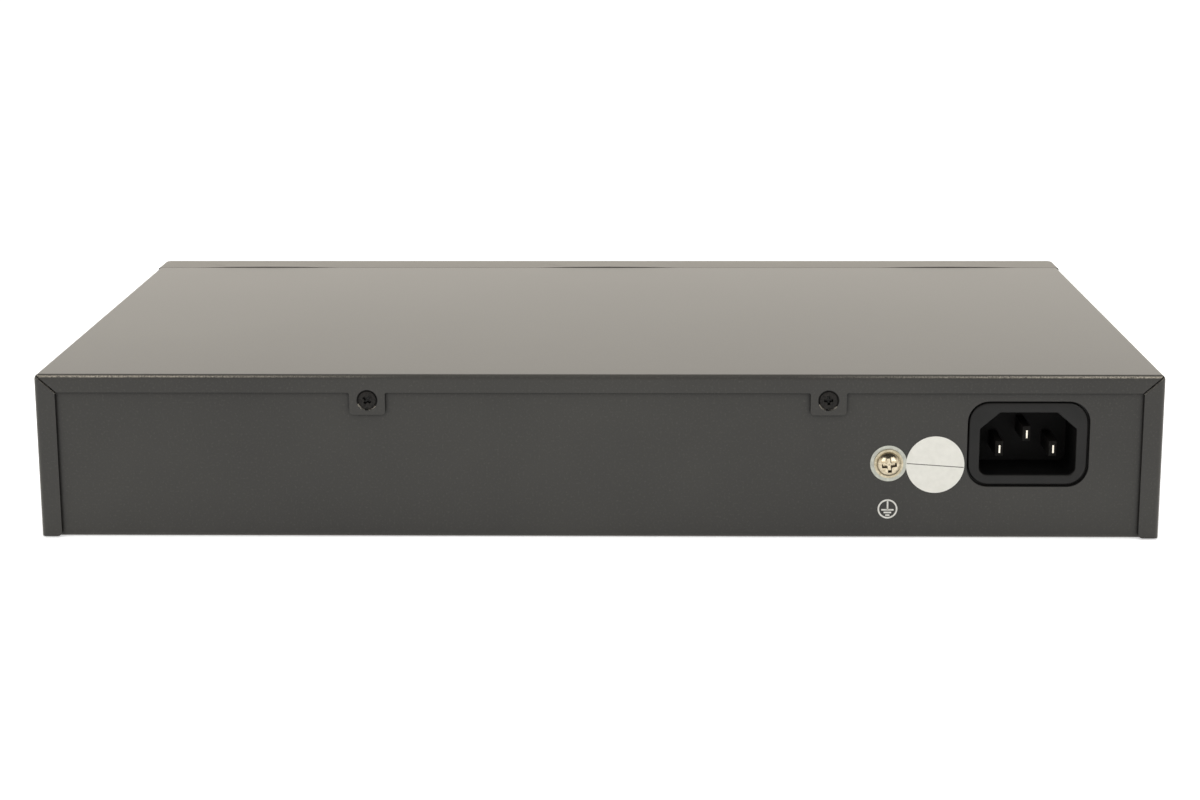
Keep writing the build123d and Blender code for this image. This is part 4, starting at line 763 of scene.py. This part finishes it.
def makeEarthSign():
    values = earthSign
    mesh = bmesh.new()
    for radius in (values["radius"], values["radius"] - values["line"]):
        bmesh.ops.create_circle(mesh, segments=values["sides"], radius=radius)
    bmesh.ops.bridge_loops(mesh, edges=mesh.edges[:])
    # each bar's middle, width and height, and then the upright's
    top, bottom = values["uprightTop"], values["firstBar"]
    bars = [(bottom - step * values["barSpacing"], length, values["line"])
            for step, length in enumerate(values["barLengths"])]
    for middle, width, height in bars + [((top + bottom) / 2, values["line"], top - bottom)]:
        grid = bmesh.ops.create_grid(mesh, x_segments=1, y_segments=1, size=0.5)["verts"]
        shape = Matrix.Diagonal((width, height, 1, 1))
        bmesh.ops.transform(mesh, matrix=Matrix.Translation((0, middle, 0)) @ shape, verts=grid)
    thick = bmesh.ops.extrude_face_region(mesh, geom=mesh.faces[:])["geom"]
    bmesh.ops.translate(mesh, verts=[part for part in thick if isinstance(part, bmesh.types.BMVert)],
                        vec=(0, 0, values["thickness"]))
    bmesh.ops.recalc_face_normals(mesh, faces=mesh.faces)
    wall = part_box("ground_washer")[0].y
    faceRear(mesh, (middleOf("ground_screw").x, wall, values["height"] * mm))
    makePiece("earth_sign", mesh, [finish("screenInk")])


makeEarthSign()

# thin printed line across the round sticker, in millimetres and degrees: a little low and off level
stickerLine = {"size": (14.9, 0.02, 0.24), "turn": -4.0, "drop": 0.2}


def makeStickerLine():
    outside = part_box("inspection_sticker")[1].y
    middle = middleOf("inspection_sticker")
    mesh = bmesh.new()
    bmesh.ops.create_cube(mesh, size=1.0)
    shape = Matrix.Diagonal([side * mm for side in stickerLine["size"]] + [1])
    place = Matrix.Translation((middle.x, outside, middle.z - stickerLine["drop"] * mm))
    turn = Matrix.Rotation(math.radians(stickerLine["turn"]), 4, "Y")
    bmesh.ops.transform(mesh, matrix=place @ turn @ shape, verts=mesh.verts)
    makePiece("sticker_line", mesh, [finish("labelInk")])


makeStickerLine()
print("fittings made")

# plain numbers printed above the lamps of the ports, in millimetres; a digit fills a share of its font's size
portNumbers = {"height": 2.3, "digitShare": 0.7, "curveSteps": 3, "thickness": 0.02, "aboveLamp": 1.6,
               "perBlock": 8, "pitch": 14.0, "mergeMm": 0.0001}


def makePortNumbers():
    values = portNumbers
    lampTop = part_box("light_guide")[1].z
    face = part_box("front_bezel")[0].y
    facing = Matrix.Rotation(math.radians(90), 4, "X") @ Matrix.Scale(mm, 4)
    blocks = [middleOf(name) for name in ("left_jack_housing", "right_jack_housing")]
    mesh = bmesh.new()
    for index in range(len(blocks) * values["perBlock"]):
        side, port = divmod(index, values["perBlock"])
        curve = bpy.data.curves.new("number", "FONT")
        curve.body = str(index + 1)
        curve.size = values["height"] / values["digitShare"]
        curve.align_x = "CENTER"
        curve.extrude = values["thickness"] / 2
        curve.resolution_u = values["curveSteps"]
        passing = bpy.data.objects.new("number", curve)
        flat = bpy.data.meshes.new_from_object(passing)
        portX = blocks[side].x + (port - (values["perBlock"] - 1) / 2) * values["pitch"] * mm
        flat.transform(Matrix.Translation((portX, face - values["thickness"] / 2 * mm,
                                           lampTop + values["aboveLamp"] * mm)) @ facing)
        mesh.from_mesh(flat)
        bpy.data.objects.remove(passing)
        bpy.data.curves.remove(curve)
        bpy.data.meshes.remove(flat)
    bmesh.ops.remove_doubles(mesh, verts=mesh.verts, dist=values["mergeMm"] * mm)
    makePiece("port_numbers", mesh, [finish("screenInk")])


makePortNumbers()
print("numbers printed")

# studio: white floor and background; mirrored surfaces see a dim room overhead
studio = {"floorSize": 6.0, "floorDropMm": 0.1, "floor": "#f4f4f3", "floorGlow": 0.5, "feltStrength": 0.62,
          "mirrored": ((0.35, "#fffaf2"), (0.7, "#3d3c3a")), "white": (1, 1, 1, 1)}


def makeFloor():
    mesh = bmesh.new()
    bmesh.ops.create_grid(mesh, x_segments=1, y_segments=1, size=studio["floorSize"] / 2)
    bmesh.ops.translate(mesh, verts=mesh.verts, vec=(0, 0, -studio["floorDropMm"] * mm))
    material = startMaterial("paleFloor")
    # seen straight or mirrored, the floor glows up to white
    rays = addNode(material, "ShaderNodeLightPath")
    seen = addNode(material, "ShaderNodeMath", {"operation": "MAXIMUM"},
                   {0: (rays, "Is Camera Ray"), 1: (rays, "Is Glossy Ray")})
    paint = addNode(material, "ShaderNodeBsdfDiffuse", {"Color": linearColour(studio["floor"])})
    glow = addNode(material, "ShaderNodeEmission", {"Strength": studio["floorGlow"]})
    lifted = addNode(material, "ShaderNodeAddShader", {}, {0: (paint, 0), 1: (glow, 0)})
    above = addNode(material, "ShaderNodeMixShader", {}, {0: (seen, 0), 1: (paint, 0), 2: (lifted, 0)})
    # from below, it lets the underside be seen
    side = addNode(material, "ShaderNodeNewGeometry")
    below = addNode(material, "ShaderNodeBsdfTransparent")
    both = addNode(material, "ShaderNodeMixShader", {}, {0: (side, "Backfacing"), 1: (above, 0), 2: (below, 0)})
    addNode(material, "ShaderNodeOutputMaterial", {}, {"Surface": (both, 0)})
    addObject("floor", meshFrom("floor", mesh, [material]))


def makeWorld():
    # white to the camera, and in reflections too, except overhead
    world = bpy.data.worlds.new("studio")
    bpy.context.scene.world = world
    world.use_nodes = True
    world.node_tree.nodes.clear()
    rays = addNode(world, "ShaderNodeLightPath")
    direction = addNode(world, "ShaderNodeTexCoord")
    split = addNode(world, "ShaderNodeSeparateXYZ", {}, {"Vector": (direction, "Generated")})
    overhead = addNode(world, "ShaderNodeValToRGB", {"ramp": studio["mirrored"]}, {"Fac": (split, "Z")})
    felt = addNode(world, "ShaderNodeBackground", {"Color": studio["white"], "Strength": studio["feltStrength"]})
    mirrored = addNode(world, "ShaderNodeBackground", {"Strength": 1.0}, {"Color": (overhead, "Color")})
    shown = addNode(world, "ShaderNodeBackground", {"Color": studio["white"], "Strength": 1.0})
    unseen = addNode(world, "ShaderNodeMixShader", {},
                     {0: (rays, "Is Glossy Ray"), 1: (felt, 0), 2: (mirrored, 0)})
    clear = addNode(world, "ShaderNodeMath", {"operation": "MAXIMUM"},
                    {0: (rays, "Is Camera Ray"), 1: (rays, "Is Transmission Ray")})
    choice = addNode(world, "ShaderNodeMixShader", {}, {0: (clear, 0), 1: (unseen, 0), 2: (shown, 0)})
    addNode(world, "ShaderNodeOutputWorld", {}, {"Surface": (choice, 0)})


# a soft lamp above, which polished heads don't mirror, and two beside the camera
lamps = {
    "above": {"place": (0.0, -0.1, 1.3), "aim": (0, 0, 0), "size": 1.2, "watts": 8.0, "mirrored": False},
    "leftFront": {"place": (0.9, 1.1, 0.8), "aim": (0, 0, 0.02), "size": 0.8, "watts": 4.4, "mirrored": True},
    "rightFront": {"place": (-0.9, 1.1, 0.8), "aim": (0, 0, 0.02), "size": 0.8, "watts": 4.4, "mirrored": True},
}


def makeLamp(name):
    values = lamps[name]
    data = bpy.data.lights.new(name, "AREA")
    data.energy = values["watts"]
    data.size = values["size"]
    lamp = addObject(name, data)
    lamp.location = values["place"]
    lamp.rotation_euler = (Vector(values["aim"]) - lamp.location).to_track_quat("-Z", "Y").to_euler()
    lamp.visible_glossy = values["mirrored"]


# camera: where the photograph was taken from
viewpoint = {"place": (-0.012007, 0.69652, 0.17540), "forward": (0.01823, -0.97492, -0.22184),
             "roll": -0.003, "lens": 71.85, "sensor": 36.0}


def makeCamera():
    forward = Vector(viewpoint["forward"]).normalized()
    right = forward.cross(Vector((0, 0, 1))).normalized()
    upward = right.cross(forward)
    roll = Matrix.Rotation(viewpoint["roll"], 3, -forward)
    facing = Matrix((roll @ right, roll @ upward, -forward)).transposed().to_4x4()
    data = bpy.data.cameras.new("camera")
    data.lens = viewpoint["lens"]
    data.sensor_width = viewpoint["sensor"]
    camera = addObject("camera", data)
    camera.matrix_world = Matrix.Translation(viewpoint["place"]) @ facing
    bpy.context.scene.camera = camera


makeFloor()
makeWorld()
for name in lamps:
    makeLamp(name)
makeCamera()
bpy.context.scene.view_settings.view_transform = "Standard"
print("studio set")
